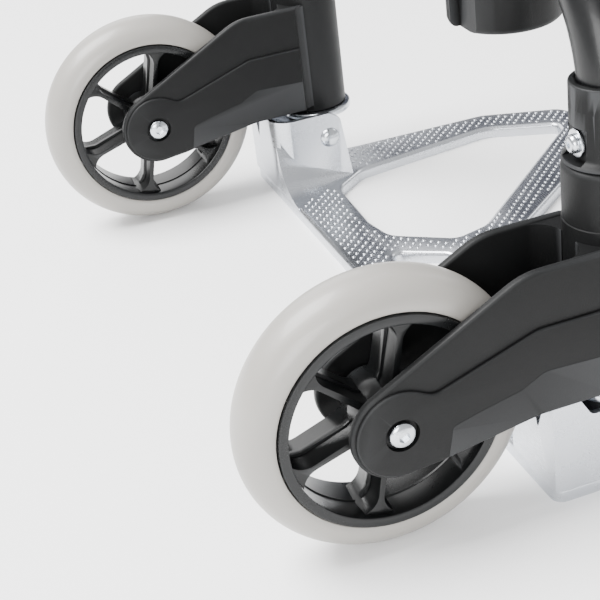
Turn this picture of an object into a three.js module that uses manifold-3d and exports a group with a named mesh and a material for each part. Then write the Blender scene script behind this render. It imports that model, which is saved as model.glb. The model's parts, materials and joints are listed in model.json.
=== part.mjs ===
// Folding two-wheel shopping trolley chassis: a hinged toe plate, two swivelling wheel forks,
// an arched lower frame and a telescopic handle.
// Millimetres. +Z is up, +X points to the front of the toe plate, +Y to the trolley's left.
// The origin lies on the ground, midway between the wheels, on the plane of the two posts.
import * as THREE from 'three';
import { mergeVertices } from 'three/addons/utils/BufferGeometryUtils.js';
import Module from 'manifold-3d';

const wasm = await Module();
wasm.setup();

// ---- Driving dimensions -------------------------------------------------------------------

const GAP = 0.3; // between pieces that touch
const POST_SPACING = 400; // between the two swivel axes, which are also the wheels' centre planes
const HANDLE_TOP = 1008; // top of the grip, handle pulled out
const TUBE_OVERLAP = 114; // of the inner tubes in the outer tubes, handle pulled out

const WHEEL_RADIUS = 70;
const WHEEL_CLEARANCE = 48; // from the post back to the tyre
const TYRE_HALF_WIDTH = 15.5;
const ARM_CLEARANCE = 3.8; // between the tyre and a fork arm
const ARM_THICKNESS = 7.2;
const RIM_RADIUS = 54; // outside of the hub's rim
const RIM_THICKNESS = 4.8;
const SPOKES = 6;
const SPOKE_WIDTH = 7;
const SPOKE_TURN = -11.5; // degrees, of the pattern of spokes at rest
const BEARING_RADIUS = 11;
const BEARING_WIDTH = 7;
const AXLE_RADIUS = 4;

const ARM_SET_BACK = 2; // of the outer face above the ridge
const ARM_TOP = 130;
const ARM_BOTTOM = 58;
const RIDGE_HEIGHT = 102.5;
const BOSS_RADIUS = 21.5;
const SLEEVE_RADIUS = 21.5;
const SLEEVE_BOTTOM = 53.3;
const SLEEVE_TOP = 163;
const SWIVEL_TRAVEL = 90; // degrees

const POST_RADIUS = 13;
const POST_WALL = 2;
const BUSH_WALL = 1.7;
const BUSH_LENGTH = 30;
const WASHER_RADIUS = 24.5;
const WASHER_BOTTOM = 48;
const COLLAR_RADIUS = 17;
const COLLAR_TOP = 190;
const ARCH_HEIGHT = 260; // centre line of the cross tubes
const ARCH_BEND = 70;

const PLATE_REAR = -42;
const PLATE_FRONT = 188;
const PLATE_TOP = 8;
const SHEET = 2.5; // pressed plate and its turned-down rims
const EAR_WALL = 3;
const EAR_TOP = 56;
const EAR_INSIDE = 35; // from the post in to the ear's inner face
const EAR_OUTSIDE = 20; // from the post out to the plate's edge
const EAR_BEND = 14; // radius of the bend from the inner wall to the rear wall
const PIVOT_X = -3.6;
const PIVOT_Z = 38.6;
const RIVET_RADIUS = 4;

const TUBE_SPACING = 210; // between the two uprights
const OUTER_TUBE_RADIUS = 16;
const OUTER_TUBE_WALL = 1.5;
const INNER_TUBE_RADIUS = 13;
const INNER_TUBE_WALL = 1.3;
const SOCKET_RADIUS = 28;
const SOCKET_BOTTOM = 200;
const SOCKET_TOP = 288;
const SOCKET_FLOOR = 6;
const BRIDGE_RADIUS = 20; // collars at the top of the uprights
const BRIDGE_DEPTH = 42;
const HANDLE_RADIUS = 15.5;
const HANDLE_BEND = 26;
const GRIP_RADIUS = 18;
const GRIP_HALF_LENGTH = 52;
const TRIGGER_TRAVEL = 4;

const WHEEL_SIDES = 32; // flats round a wheel
const FINE_SIDES = 24; // round a sleeve, socket or boss
const ROUND_SIDES = 20; // round a tube
const SMALL_SIDES = 14; // round a screw, rivet or bearing

// ---- Values worked out from them ----------------------------------------------------------

const POST_Y = POST_SPACING / 2;
const PLATE_HALF_WIDTH = POST_Y + EAR_OUTSIDE;
const EAR_INNER = POST_Y - EAR_INSIDE; // inner face of the ear's inner wall
const WHEEL_TRAIL = WHEEL_RADIUS + WHEEL_CLEARANCE; // from the post back to the axle
const HUB_HALF_WIDTH = TYRE_HALF_WIDTH + 1.2;
const ARM_INNER = TYRE_HALF_WIDTH + ARM_CLEARANCE; // from the wheel's centre plane
const ARM_OUTER = ARM_INNER + ARM_THICKNESS; // raised outer face
const TUBE_Y = TUBE_SPACING / 2;
const AXLE_Z = WHEEL_RADIUS;
const HANDLE_Z = HANDLE_TOP - GRIP_RADIUS; // centre line of the grip
const BUSH_OUTER = POST_RADIUS + GAP + BUSH_WALL;
const SLEEVE_BORE = BUSH_OUTER + GAP;
const FOLDED_PLATE_X = PIVOT_X + PIVOT_Z - PLATE_TOP; // the folded plate's rear face
const EAR_MID = EAR_INNER + EAR_WALL - POST_Y; // outer face of the inner wall, from the post

// ---- Materials ----------------------------------------------------------------------------

const finish = (color, roughness, metalness) =>
  () => new THREE.MeshStandardMaterial({ color, roughness, metalness });
const blackNylon = finish(0x1b1c1e, 0.45, 0);
const glossNylon = finish(0x141516, 0.3, 0);
const greyTyre = finish(0xa7a39c, 0.5, 0);
const aluminium = finish(0xc9ccd0, 0.3, 1);
const zinc = finish(0xb9bcc0, 0.3, 1);
const blackPaint = finish(0x17181a, 0.35, 0.2);
const bearingSteel = finish(0x9c9fa3, 0.25, 1);
const acetal = finish(0xe4e2da, 0.4, 0);
const softGrip = finish(0x232426, 0.8, 0);

// ---- Solids -------------------------------------------------------------------------------

/** Turns a closed three.js geometry into a solid whose faces point out. */
function solid(geometry) {
  const bare = geometry.clone();
  bare.deleteAttribute('normal');
  bare.deleteAttribute('uv');
  const merged = mergeVertices(bare, 1e-4);
  const at = merged.attributes.position.array;
  const corners = [];
  let volume = 0;
  for (let i = 0; i < merged.index.count; i += 3) {
    const [a, b, c] = [0, 1, 2].map((k) => merged.index.getX(i + k));
    if (a === b || b === c || c === a) continue;
    corners.push(a, b, c);
    const [p, q, r] = [a, b, c].map((v) => new THREE.Vector3().fromArray(at, v * 3));
    volume += p.dot(q.cross(r));
  }
  if (volume < 0) corners.reverse();
  return new wasm.Manifold(new wasm.Mesh({
    numProp: 3, vertProperties: new Float32Array(at), triVerts: new Uint32Array(corners),
  }));
}

/** The other side's copy of a solid, mirrored across the trolley's middle plane. */
function mirrored(body) {
  const mesh = body.getMesh();
  const at = Float32Array.from(mesh.vertProperties);
  for (let i = 1; i < at.length; i += 3) at[i] = -at[i];
  return new wasm.Manifold(new wasm.Mesh({
    numProp: 3, vertProperties: at, triVerts: Uint32Array.from(mesh.triVerts).reverse(),
  }));
}

const union = (...bodies) => bodies.reduce((whole, body) => whole.add(body));
const cut = (body, ...tools) => tools.reduce((left, tool) => left.subtract(tool), body);

const TURN_TO = {
  x: (geometry) => geometry.rotateZ(-Math.PI / 2),
  y: (geometry) => geometry,
  z: (geometry) => geometry.rotateX(Math.PI / 2),
};

/** A round bar along an axis, between two stations, about a line through `centre`. */
function bar(axis, radius, from, to, centre = [0, 0, 0], sides = ROUND_SIDES) {
  const geometry = new THREE.CylinderGeometry(radius, radius, to - from, sides);
  geometry.translate(0, (from + to) / 2, 0);
  return solid(TURN_TO[axis](geometry).translate(...centre));
}

/** A turned body: `profile` lists [radius, station] pairs, closed on the axis or on itself. */
function turned(axis, profile, centre = [0, 0, 0], sides = ROUND_SIDES) {
  const points = profile.map(([radius, station]) => new THREE.Vector2(radius, station));
  return solid(TURN_TO[axis](new THREE.LatheGeometry(points, sides)).translate(...centre));
}

/** A closed ring profile for `turned`. */
const ringProfile = (inner, outer, from, to) =>
  [[inner, from], [outer, from], [outer, to], [inner, to], [inner, from]];

const ring = (axis, inner, outer, from, to, centre, sides) =>
  turned(axis, ringProfile(inner, outer, from, to), centre, sides);

/** A block between two opposite corners. */
function block(low, high) {
  const size = high.map((value, i) => value - low[i]);
  const middle = high.map((value, i) => (value + low[i]) / 2);
  return solid(new THREE.BoxGeometry(...size).translate(...middle));
}

const DEPTH_TO = {
  x: new THREE.Matrix4().makeBasis(new THREE.Vector3(0, 1, 0), new THREE.Vector3(0, 0, 1),
    new THREE.Vector3(1, 0, 0)),
  y: new THREE.Matrix4().makeRotationX(Math.PI / 2),
  z: new THREE.Matrix4(),
};

/** A prism along an axis. `points` are [x, y] for z, [y, z] for x and [x, z] for y. */
function prism(axis, points, from, to) {
  const shape = new THREE.Shape(points.map(([u, v]) => new THREE.Vector2(u, v)));
  const geometry = new THREE.ExtrudeGeometry(shape, { depth: to - from, bevelEnabled: false });
  geometry.applyMatrix4(DEPTH_TO[axis]);
  const shift = { x: [from, 0, 0], y: [0, to, 0], z: [0, 0, from] }[axis];
  return solid(geometry.translate(...shift));
}

const signedArea = (corners) => corners.reduce((sum, [x, y], i) => {
  const [nextX, nextY] = corners[(i + 1) % corners.length];
  return sum + (x * nextY - nextX * y) / 2;
}, 0);

const anticlockwise = (corners) =>
  (signedArea(corners) < 0 ? [...corners].reverse() : corners);

/** Moves each side of an outline of [x, y, radius] corners inwards by `depth`. */
function inset(corners, depth) {
  const loop = anticlockwise(corners);
  return loop.map(([x, y, radius = 0], i) => {
    const [px, py] = loop[(i + loop.length - 1) % loop.length];
    const [nx, ny] = loop[(i + 1) % loop.length];
    const before = new THREE.Vector2(x - px, y - py).normalize();
    const after = new THREE.Vector2(nx - x, ny - y).normalize();
    const turn = before.cross(after);
    const shift = depth * Math.tan(Math.atan2(turn, before.dot(after)) / 2);
    const cornerX = x - before.y * depth - before.x * shift;
    const cornerY = y + before.x * depth - before.y * shift;
    return [cornerX, cornerY, Math.max(radius - Math.sign(turn) * depth, 0)];
  });
}

/** Points of an outline whose [x, y, radius] corners are rounded. */
function rounded(corners, stepDegrees = 30) {
  const loop = anticlockwise(corners);
  const points = [];
  loop.forEach(([x, y, radius = 0], i) => {
    const here = new THREE.Vector2(x, y);
    const [px, py] = loop[(i + loop.length - 1) % loop.length];
    const [nx, ny] = loop[(i + 1) % loop.length];
    const toBefore = new THREE.Vector2(px, py).sub(here);
    const toAfter = new THREE.Vector2(nx, ny).sub(here);
    const room = Math.min(toBefore.length(), toAfter.length()) / 2;
    toBefore.normalize();
    toAfter.normalize();
    const half = Math.acos(THREE.MathUtils.clamp(toBefore.dot(toAfter), -1, 1)) / 2;
    const reach = Math.min(radius / Math.tan(half), room);
    if (reach < 0.05) {
      points.push([x, y]);
      return;
    }
    const round = reach * Math.tan(half);
    const centre = toBefore.clone().add(toAfter).normalize()
      .multiplyScalar(round / Math.sin(half)).add(here);
    const start = toBefore.clone().multiplyScalar(reach).add(here).sub(centre).angle();
    const sweep = Math.PI - 2 * half;
    const sign = Math.sign(toAfter.clone().cross(toBefore));
    const steps = Math.max(1, Math.ceil(THREE.MathUtils.radToDeg(sweep) / stepDegrees));
    for (let k = 0; k <= steps; k += 1) {
      const angle = start + sign * sweep * (k / steps);
      points.push([centre.x + round * Math.cos(angle), centre.y + round * Math.sin(angle)]);
    }
  });
  return points;
}

/** A wedge of a circle about the vertical axis, for cutting or keeping a sector. */
function wedge(fromDegrees, toDegrees, radius, low, high) {
  const steps = Math.ceil((toDegrees - fromDegrees) / 15);
  const points = [[0, 0]];
  for (let k = 0; k <= steps; k += 1) {
    const angle = THREE.MathUtils.degToRad(fromDegrees + (toDegrees - fromDegrees) * (k / steps));
    points.push([radius * Math.cos(angle), radius * Math.sin(angle)]);
  }
  return prism('z', points, low, high);
}

/** Appends the mirror image of half an outline, across y = 0. */
const bothSides = (corners) =>
  [...corners, ...corners.map(([x, y, radius]) => [x, -y, radius]).reverse()];

/** A run of straight stretches and one bend, stepped only where it curves. */
class BentLine extends THREE.Curve {
  /** `points` are the corners of the run and `bend` the radius at its inner corners. */
  constructor(points, bend, steps = 6) {
    super();
    this.stations = [points[0]];
    for (let i = 1; i < points.length - 1; i += 1) {
      const into = points[i].clone().sub(points[i - 1]).normalize();
      const out = points[i + 1].clone().sub(points[i]).normalize();
      const start = points[i].clone().addScaledVector(into, -bend);
      for (let k = 0; k <= steps; k += 1) {
        const angle = (Math.PI / 2) * (k / steps);
        this.stations.push(start.clone().addScaledVector(into, bend * Math.sin(angle))
          .addScaledVector(out, bend * (1 - Math.cos(angle))));
      }
    }
    this.stations.push(points[points.length - 1]);
    this.steps = this.stations.length - 1;
  }

  getPoint(t) {
    const place = Math.min(Math.floor(t * this.steps + 1e-9), this.steps - 1);
    return this.stations[place].clone().lerp(this.stations[place + 1], t * this.steps - place);
  }

  getTangent(t) {
    const place = Math.round(t * this.steps);
    const before = this.stations[Math.max(place - 1, 0)];
    const after = this.stations[Math.min(place + 1, this.steps)];
    if (place === 0 || place === this.steps) return after.clone().sub(before).normalize();
    const here = this.stations[place];
    return here.clone().sub(before).normalize().add(after.clone().sub(here).normalize())
      .normalize();
  }

  getUtoTmapping(u) {
    return u;
  }
}

/** A bar of round section swept along a bent line. */
function sweptBar(line, radius, sides = ROUND_SIDES) {
  const section = new THREE.Shape();
  for (let k = 0; k < sides; k += 1) {
    const angle = (2 * Math.PI * k) / sides;
    const move = k === 0 ? 'moveTo' : 'lineTo';
    section[move](radius * Math.cos(angle), radius * Math.sin(angle));
  }
  return solid(new THREE.ExtrudeGeometry(section, { steps: line.steps, extrudePath: line }));
}

// ---- The assembly -------------------------------------------------------------------------

const trolley = new THREE.Group();
const SIDES = [{ name: 'left', sign: 1 }, { name: 'right', sign: -1 }];

/** Adds one named piece to a group. */
function add(group, name, body, material) {
  const mesh = body.getMesh();
  const geometry = new THREE.BufferGeometry();
  geometry.setAttribute('position', new THREE.BufferAttribute(mesh.vertProperties, 3));
  geometry.setIndex(new THREE.BufferAttribute(mesh.triVerts, 1));
  geometry.computeVertexNormals();
  const piece = new THREE.Mesh(geometry, material());
  piece.name = name;
  group.add(piece);
}

/** Adds a piece that is built for the left side, mirrored on the right side. */
function addSided(group, side, name, body, material) {
  add(group, `${side.name}_${name}`, side.sign > 0 ? body : mirrored(body), material);
}

// ---- Wheels, about their own centre, axle along Y -----------------------------------------

function tyre() {
  const inner = RIM_RADIUS + GAP;
  const shoulder = inner + 2;
  const profile = [[inner, -TYRE_HALF_WIDTH + 1]];
  const steps = 8;
  for (let k = 0; k <= steps; k += 1) {
    const angle = Math.PI * (k / steps - 0.5);
    profile.push([shoulder + (WHEEL_RADIUS - shoulder) * Math.cos(angle),
      TYRE_HALF_WIDTH * Math.sin(angle)]);
  }
  profile.push([inner, TYRE_HALF_WIDTH - 1], profile[0]);
  return turned('y', profile, [0, 0, 0], WHEEL_SIDES);
}

function hub() {
  const barrel = BEARING_RADIUS + 4;
  const inside = RIM_RADIUS - RIM_THICKNESS;
  const halfSpoke = SPOKE_WIDTH / 2;
  const lip = TYRE_HALF_WIDTH + 0.7;
  const rim = ring('y', inside, RIM_RADIUS, -lip, lip, [0, 0, 0], WHEEL_SIDES);
  let body = union(rim, bar('y', barrel, -HUB_HALF_WIDTH, HUB_HALF_WIDTH));
  const flare = inside - 9;
  const spoke = [[barrel - 3, -halfSpoke], [flare, -halfSpoke], [inside + 1, -halfSpoke - 6],
    [inside + 1, halfSpoke + 6], [flare, halfSpoke], [barrel - 3, halfSpoke]];
  for (let k = 0; k < SPOKES; k += 1) {
    const angle = (2 * Math.PI * (k + 0.5)) / SPOKES + THREE.MathUtils.degToRad(SPOKE_TURN);
    const turnedSpoke = spoke.map(([x, z]) =>
      [x * Math.cos(angle) - z * Math.sin(angle), x * Math.sin(angle) + z * Math.cos(angle)]);
    body = body.add(prism('y', turnedSpoke, -HUB_HALF_WIDTH + 5, HUB_HALF_WIDTH - 5));
  }
  const seat = HUB_HALF_WIDTH - BEARING_WIDTH - GAP;
  return cut(body, bar('y', BEARING_RADIUS + GAP / 2, seat, HUB_HALF_WIDTH + 1),
    bar('y', BEARING_RADIUS + GAP / 2, -HUB_HALF_WIDTH - 1, -seat),
    bar('y', BEARING_RADIUS - 2.5, -HUB_HALF_WIDTH, HUB_HALF_WIDTH));
}

const bearing = (sign) => {
  const [near, far] = [HUB_HALF_WIDTH - BEARING_WIDTH, HUB_HALF_WIDTH].map((y) => sign * y);
  return ring('y', AXLE_RADIUS + GAP / 2, BEARING_RADIUS, Math.min(near, far), Math.max(near, far),
    [0, 0, 0], SMALL_SIDES);
};

const bearingSpacer = () => {
  const half = HUB_HALF_WIDTH - BEARING_WIDTH - GAP;
  return ring('y', AXLE_RADIUS + GAP / 2, AXLE_RADIUS + 3, -half, half, [0, 0, 0], SMALL_SIDES);
};

const BOLT_HEAD_RADIUS = 6.25;
const BOLT_HEAD_HEIGHT = 3.6;
const HEAD_SEAT = ARM_OUTER - 2.4; // bottom of the round recess in each arm

/** A domed head with a hexagonal socket, seated at `seat` and facing along `sign` Y. */
function socketHead(sign, seat) {
  const base = sign * (seat + GAP);
  const at = (height) => base + sign * height;
  const dome = [[0, base], [BOLT_HEAD_RADIUS, base], [BOLT_HEAD_RADIUS, at(1.4)],
    [BOLT_HEAD_RADIUS * 0.85, at(BOLT_HEAD_HEIGHT * 0.75)],
    [BOLT_HEAD_RADIUS * 0.5, at(BOLT_HEAD_HEIGHT)], [0, at(BOLT_HEAD_HEIGHT)]];
  const [low, high] = [at(1.2), at(BOLT_HEAD_HEIGHT + 1)].sort((a, b) => a - b);
  return cut(turned('y', dome, [0, 0, 0], SMALL_SIDES), bar('y', 2.6, low, high, [0, 0, 0], 6));
}

const axleBolt = () =>
  socketHead(-1, HEAD_SEAT).add(bar('y', AXLE_RADIUS, -HEAD_SEAT - 1, HEAD_SEAT - 6, [0, 0, 0],
    SMALL_SIDES));

/** The sleeve nut: a second domed head, whose short sleeve takes the end of the bolt. */
const axleNut = () => socketHead(1, HEAD_SEAT)
  .add(bar('y', AXLE_RADIUS, HEAD_SEAT - 6 + GAP, HEAD_SEAT + 1, [0, 0, 0], SMALL_SIDES));

// ---- Forks, about the post at the origin of their group, +Y outwards ----------------------

const TONGUE = [62, 98]; // sector of the collar's stop tongue, degrees
const TONGUE_DEPTH = 7.5;
const FLOOR_REAR = -WHEEL_TRAIL + WHEEL_RADIUS + 5;

/** Side view of the whole arm, [x, z, radius]. */
const armOutline = () => [
  [-WHEEL_TRAIL - 12, AXLE_Z + 20, 4], [-55, ARM_TOP, 20], [-8, ARM_TOP, 0],
  [-8, ARM_BOTTOM, 0], [-51, ARM_BOTTOM, 30],
  [-WHEEL_TRAIL + 17, AXLE_Z - 20, 20], [-WHEEL_TRAIL, AXLE_Z - 21, 0],
];

/** Side view of the raised face below the ridge. */
const raisedOutline = () => [
  [-WHEEL_TRAIL, AXLE_Z + 21, 0], [-WHEEL_TRAIL + 16, RIDGE_HEIGHT - 16, 6],
  [-50, RIDGE_HEIGHT, 12], [-8, RIDGE_HEIGHT, 0], [-8, ARM_BOTTOM, 0],
  [-51, ARM_BOTTOM, 30], [-WHEEL_TRAIL + 17, AXLE_Z - 20, 20], [-WHEEL_TRAIL, AXLE_Z - 21, 0],
];

/** Plan of one arm out to `face`, running into the sleeve. */
const armPlan = (face) => [
  [-WHEEL_TRAIL - 30, ARM_INNER], [-WHEEL_TRAIL - 30, face], [-28, face],
  [-8, face - (ARM_OUTER - SLEEVE_RADIUS)], [-8, SLEEVE_BORE - 3], [-22, 11], [-36, ARM_INNER],
];

function forkArm(sign) {
  const plan = (face) => prism('z', armPlan(face).map(([x, y]) => [x, sign * y]), 30, 150);
  const far = sign > 0 ? [0, 40] : [-40, 0];
  const side = (corners) => prism('y', rounded(corners, 30), ...far);
  const upper = plan(ARM_OUTER - ARM_SET_BACK).intersect(side(armOutline()));
  const lower = plan(ARM_OUTER).intersect(side(raisedOutline()));
  const hub = [-WHEEL_TRAIL, 0, AXLE_Z];
  const [low, high] = [ARM_INNER, ARM_OUTER].map((y) => sign * y).sort((a, b) => a - b);
  const [near, seat] = [HUB_HALF_WIDTH + GAP, ARM_INNER + 1].map((y) => sign * y)
    .sort((a, b) => a - b);
  return union(upper, lower, bar('y', BOSS_RADIUS, low, high, hub, FINE_SIDES),
    bar('y', AXLE_RADIUS + 4, near, seat, hub, SMALL_SIDES));
}

function fork() {
  const hub = [-WHEEL_TRAIL, 0, AXLE_Z];
  const floor = block([FLOOR_REAR, -ARM_INNER - 2, ARM_BOTTOM], [-12, ARM_INNER + 2, ARM_BOTTOM + 4]);
  const sleeve = turned('z', [[0, SLEEVE_BOTTOM], [SLEEVE_RADIUS - 1, SLEEVE_BOTTOM],
    [SLEEVE_RADIUS, SLEEVE_BOTTOM + 1], [SLEEVE_RADIUS, SLEEVE_TOP - 3],
    [SLEEVE_RADIUS - 1, SLEEVE_TOP - 0.8], [SLEEVE_RADIUS - 3, SLEEVE_TOP], [0, SLEEVE_TOP]],
  [0, 0, 0], FINE_SIDES);
  const notch = wedge(TONGUE[0] - SWIVEL_TRAVEL - 3, TONGUE[1] + 3, SLEEVE_RADIUS + 10,
    SLEEVE_TOP - TONGUE_DEPTH - 1, SLEEVE_TOP + 1);
  const recess = HEAD_SEAT;
  return cut(union(forkArm(1), forkArm(-1), floor, sleeve),
    bar('z', SLEEVE_BORE, SLEEVE_BOTTOM - 1, SLEEVE_TOP + 1, [0, 0, 0], FINE_SIDES), notch,
    bar('y', AXLE_RADIUS + GAP, -ARM_OUTER - 1, ARM_OUTER + 1, hub, SMALL_SIDES),
    bar('y', BOLT_HEAD_RADIUS + 1.75, recess, ARM_OUTER + 1, hub, ROUND_SIDES),
    bar('y', BOLT_HEAD_RADIUS + 1.75, -ARM_OUTER - 1, -recess, hub, ROUND_SIDES));
}

const forkBush = (low) => ring('z', POST_RADIUS + GAP, BUSH_OUTER, low, low + BUSH_LENGTH);

const thrustWasher = () =>
  ring('z', POST_RADIUS + GAP, WASHER_RADIUS, WASHER_BOTTOM, SLEEVE_BOTTOM - GAP, [0, 0, 0], FINE_SIDES);

const CAM_PEG_Y = 4.5; // outwards of the post, in the middle of the ear's notch
const CAM_PEG_RADIUS = 3;

/** The peg below the fork that sits in the notch of the toe plate's ear. */
const camPeg = () => bar('z', CAM_PEG_RADIUS, EAR_TOP - 6, ARM_BOTTOM - GAP,
  [FLOOR_REAR + CAM_PEG_RADIUS + 0.5, CAM_PEG_Y, 0], SMALL_SIDES);

// ---- Lower frame --------------------------------------------------------------------------

const SCREW_Z = COLLAR_TOP - 17;
const SCREW_RADIUS = 2.4;
const PAD_FACE = -POST_RADIUS - 1.8; // flat on the collar, for the screw's washer
const PAD_HALF = 8; // half the flat's width and height
const CHEEK_RADIUS = 11; // of the foot block, round the rivet
const CHEEK_FRONT = 8; // of the foot block, forward of the rivet
const PAST = 60; // reach of a cutting block, past the piece that it cuts

/** Foot of a post: carries the toe plate's rivet and plugs into the tube. */
function footBlock() {
  const top = WASHER_BOTTOM - GAP;
  const [inner, outer] = [EAR_MID + GAP, EAR_OUTSIDE - EAR_WALL - GAP];
  const cheek = union(bar('y', CHEEK_RADIUS, inner, outer, [PIVOT_X, 0, PIVOT_Z], ROUND_SIDES),
    block([PIVOT_X - CHEEK_RADIUS, inner, PIVOT_Z], [PIVOT_X + CHEEK_FRONT, outer, top]));
  const trimmed = cut(cheek, block([-PAST, -PAST, top], [PAST, PAST, top + PAST]));
  const spigot = bar('z', POST_RADIUS - POST_WALL - GAP, top - 0.5, top + 34);
  return cut(union(trimmed, spigot),
    bar('y', RIVET_RADIUS + GAP, inner - 1, outer + 1, [PIVOT_X, 0, PIVOT_Z], SMALL_SIDES));
}

/** Centre line of the bent tube, longer by `extra` at each end, with its post at y = `post`. */
function archLine(extra, post = 0) {
  const end = post - POST_Y + TUBE_Y + OUTER_TUBE_RADIUS + 2 * GAP + 1;
  return new BentLine([
    new THREE.Vector3(0, post, WASHER_BOTTOM - extra), new THREE.Vector3(0, post, ARCH_HEIGHT),
    new THREE.Vector3(0, end - extra, ARCH_HEIGHT)], ARCH_BEND);
}

/** The bent tube, from the foot block to the upright's socket. */
const archTube = () => cut(sweptBar(archLine(0), POST_RADIUS),
  sweptBar(archLine(1), POST_RADIUS - POST_WALL),
  bar('x', SCREW_RADIUS + GAP, -POST_RADIUS - 2, 0, [0, 0, SCREW_Z], SMALL_SIDES));

/** Collar screwed to the post above the fork, with the tongue that stops the swivel. */
function collar() {
  const bottom = SLEEVE_TOP + GAP;
  const bore = POST_RADIUS + GAP;
  const skirt = SLEEVE_RADIUS - 0.7;
  const body = turned('z', [[bore, bottom], [skirt, bottom], [skirt, bottom + 1],
    [COLLAR_RADIUS, bottom + 3.5], [COLLAR_RADIUS, COLLAR_TOP], [bore, COLLAR_TOP],
    [bore, bottom]], [0, 0, 0], FINE_SIDES);
  const tongue = ring('z', SLEEVE_BORE + GAP, skirt, SLEEVE_TOP - TONGUE_DEPTH, bottom + 1,
    [0, 0, 0], FINE_SIDES).intersect(wedge(...TONGUE, 40, 0, 400));
  const rim = ring('z', bore, COLLAR_RADIUS, COLLAR_TOP - 3, COLLAR_TOP + 10, [0, 0, 0], FINE_SIDES)
    .intersect(wedge(120, 300, 40, 0, 400));
  const flat = block([-SLEEVE_RADIUS - 5, -PAD_HALF, SCREW_Z - PAD_HALF],
    [PAD_FACE, PAD_HALF, SCREW_Z + PAD_HALF]);
  return cut(union(body, tongue, rim), flat, sweptBar(archLine(1), bore),
    bar('x', SCREW_RADIUS + GAP, PAD_FACE - 5, 0, [0, 0, SCREW_Z], SMALL_SIDES));
}

const WASHER_THICKNESS = 1.2;
const collarWasher = () => ring('x', SCREW_RADIUS + GAP, 6.5,
  PAD_FACE - GAP - WASHER_THICKNESS, PAD_FACE - GAP, [0, 0, SCREW_Z], SMALL_SIDES);

function collarScrew() {
  const seat = PAD_FACE - 2 * GAP - WASHER_THICKNESS;
  const head = turned('x', [[0, seat], [4.4, seat], [4.2, seat - 1.8], [2.6, seat - 2.9],
    [0, seat - 3.1]], [0, 0, SCREW_Z], SMALL_SIDES);
  return cut(head.add(bar('x', SCREW_RADIUS, seat - 1, -POST_RADIUS + POST_WALL + 1,
    [0, 0, SCREW_Z], SMALL_SIDES)), bar('x', 1.7, seat - 5, seat - 1.4, [0, 0, SCREW_Z], 6));
}

/** Socket that joins the arch, an upright and the cross tube; about the upright's axis. */
function tubeSocket() {
  const tubeBore = OUTER_TUBE_RADIUS + GAP;
  const crossBore = POST_RADIUS + GAP;
  const post = POST_Y - TUBE_Y;
  const shell = cut(bar('z', SOCKET_RADIUS, SOCKET_BOTTOM, SOCKET_TOP, [0, 0, 0], FINE_SIDES),
    block([-PAST, -2, 0], [-SOCKET_RADIUS + 5, 16, SOCKET_TOP + 1]),
    block([FOLDED_PLATE_X - 1, -PAST, 0], [PAST, PAST, SOCKET_TOP + 1]));
  const outward = bar('y', POST_RADIUS + 4, 0, post - ARCH_BEND + 3, [0, 0, ARCH_HEIGHT],
    ROUND_SIDES);
  return cut(shell.add(outward),
    bar('z', tubeBore, SOCKET_BOTTOM + SOCKET_FLOOR, SOCKET_TOP + 1, [0, 0, 0], FINE_SIDES),
    sweptBar(archLine(8, post), crossBore),
    bar('y', crossBore, -SOCKET_RADIUS - 1, -8, [0, 0, ARCH_HEIGHT], ROUND_SIDES));
}

const crossTube = () => {
  const half = TUBE_Y - OUTER_TUBE_RADIUS - 2 * GAP;
  return ring('y', POST_RADIUS - POST_WALL, POST_RADIUS, -half, half, [0, 0, ARCH_HEIGHT], ROUND_SIDES);
};

// ---- Toe plate ----------------------------------------------------------------------------

const plateOutline = () => bothSides([
  [PLATE_REAR, PLATE_HALF_WIDTH, 6], [8, PLATE_HALF_WIDTH, 8], [24, PLATE_HALF_WIDTH - 11, 12],
  [PLATE_FRONT - 60, PLATE_HALF_WIDTH - 14, 20], [PLATE_FRONT - 7, PLATE_HALF_WIDTH - 36, 12],
  [PLATE_FRONT, PLATE_HALF_WIDTH - 50, 12]]);

/** Opening on each side, between the outer strip and the diagonal limb. */
const sideOpening = () => [
  [-6, PLATE_HALF_WIDTH - 71, 14], [18, PLATE_HALF_WIDTH - 52, 14],
  [PLATE_FRONT - 68, PLATE_HALF_WIDTH - 38, 25], [PLATE_FRONT - 22, PLATE_HALF_WIDTH - 60, 6],
  [PLATE_FRONT - 24, PLATE_HALF_WIDTH - 70, 6], [53, 46, 18], [30, 40, 10], [-4, 66, 16],
  [-8.3, 90, 10],
];
const rearOpening = () => bothSides([[-14.5, 45, 5], [17.7, 23, 8]]);
const frontOpening = () => bothSides([[52, 14, 8], [PLATE_FRONT - 20, PLATE_HALF_WIDTH - 110, 12]]);

function pressedPlate() {
  const right = sideOpening().map(([x, y, radius]) => [x, -y, radius]);
  const openings = [sideOpening(), right, rearOpening(), frontOpening()];
  const through = openings.map((corners) => prism('z', rounded(corners), -1, PLATE_TOP + 1));
  const rims = openings.map((corners) =>
    prism('z', rounded(inset(corners, -SHEET)), -2, PLATE_TOP));
  const hollow = cut(prism('z', rounded(inset(plateOutline(), SHEET)), -1, PLATE_TOP - SHEET),
    ...rims);
  return cut(prism('z', rounded(plateOutline()), 0, PLATE_TOP), ...through, hollow);
}

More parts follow.
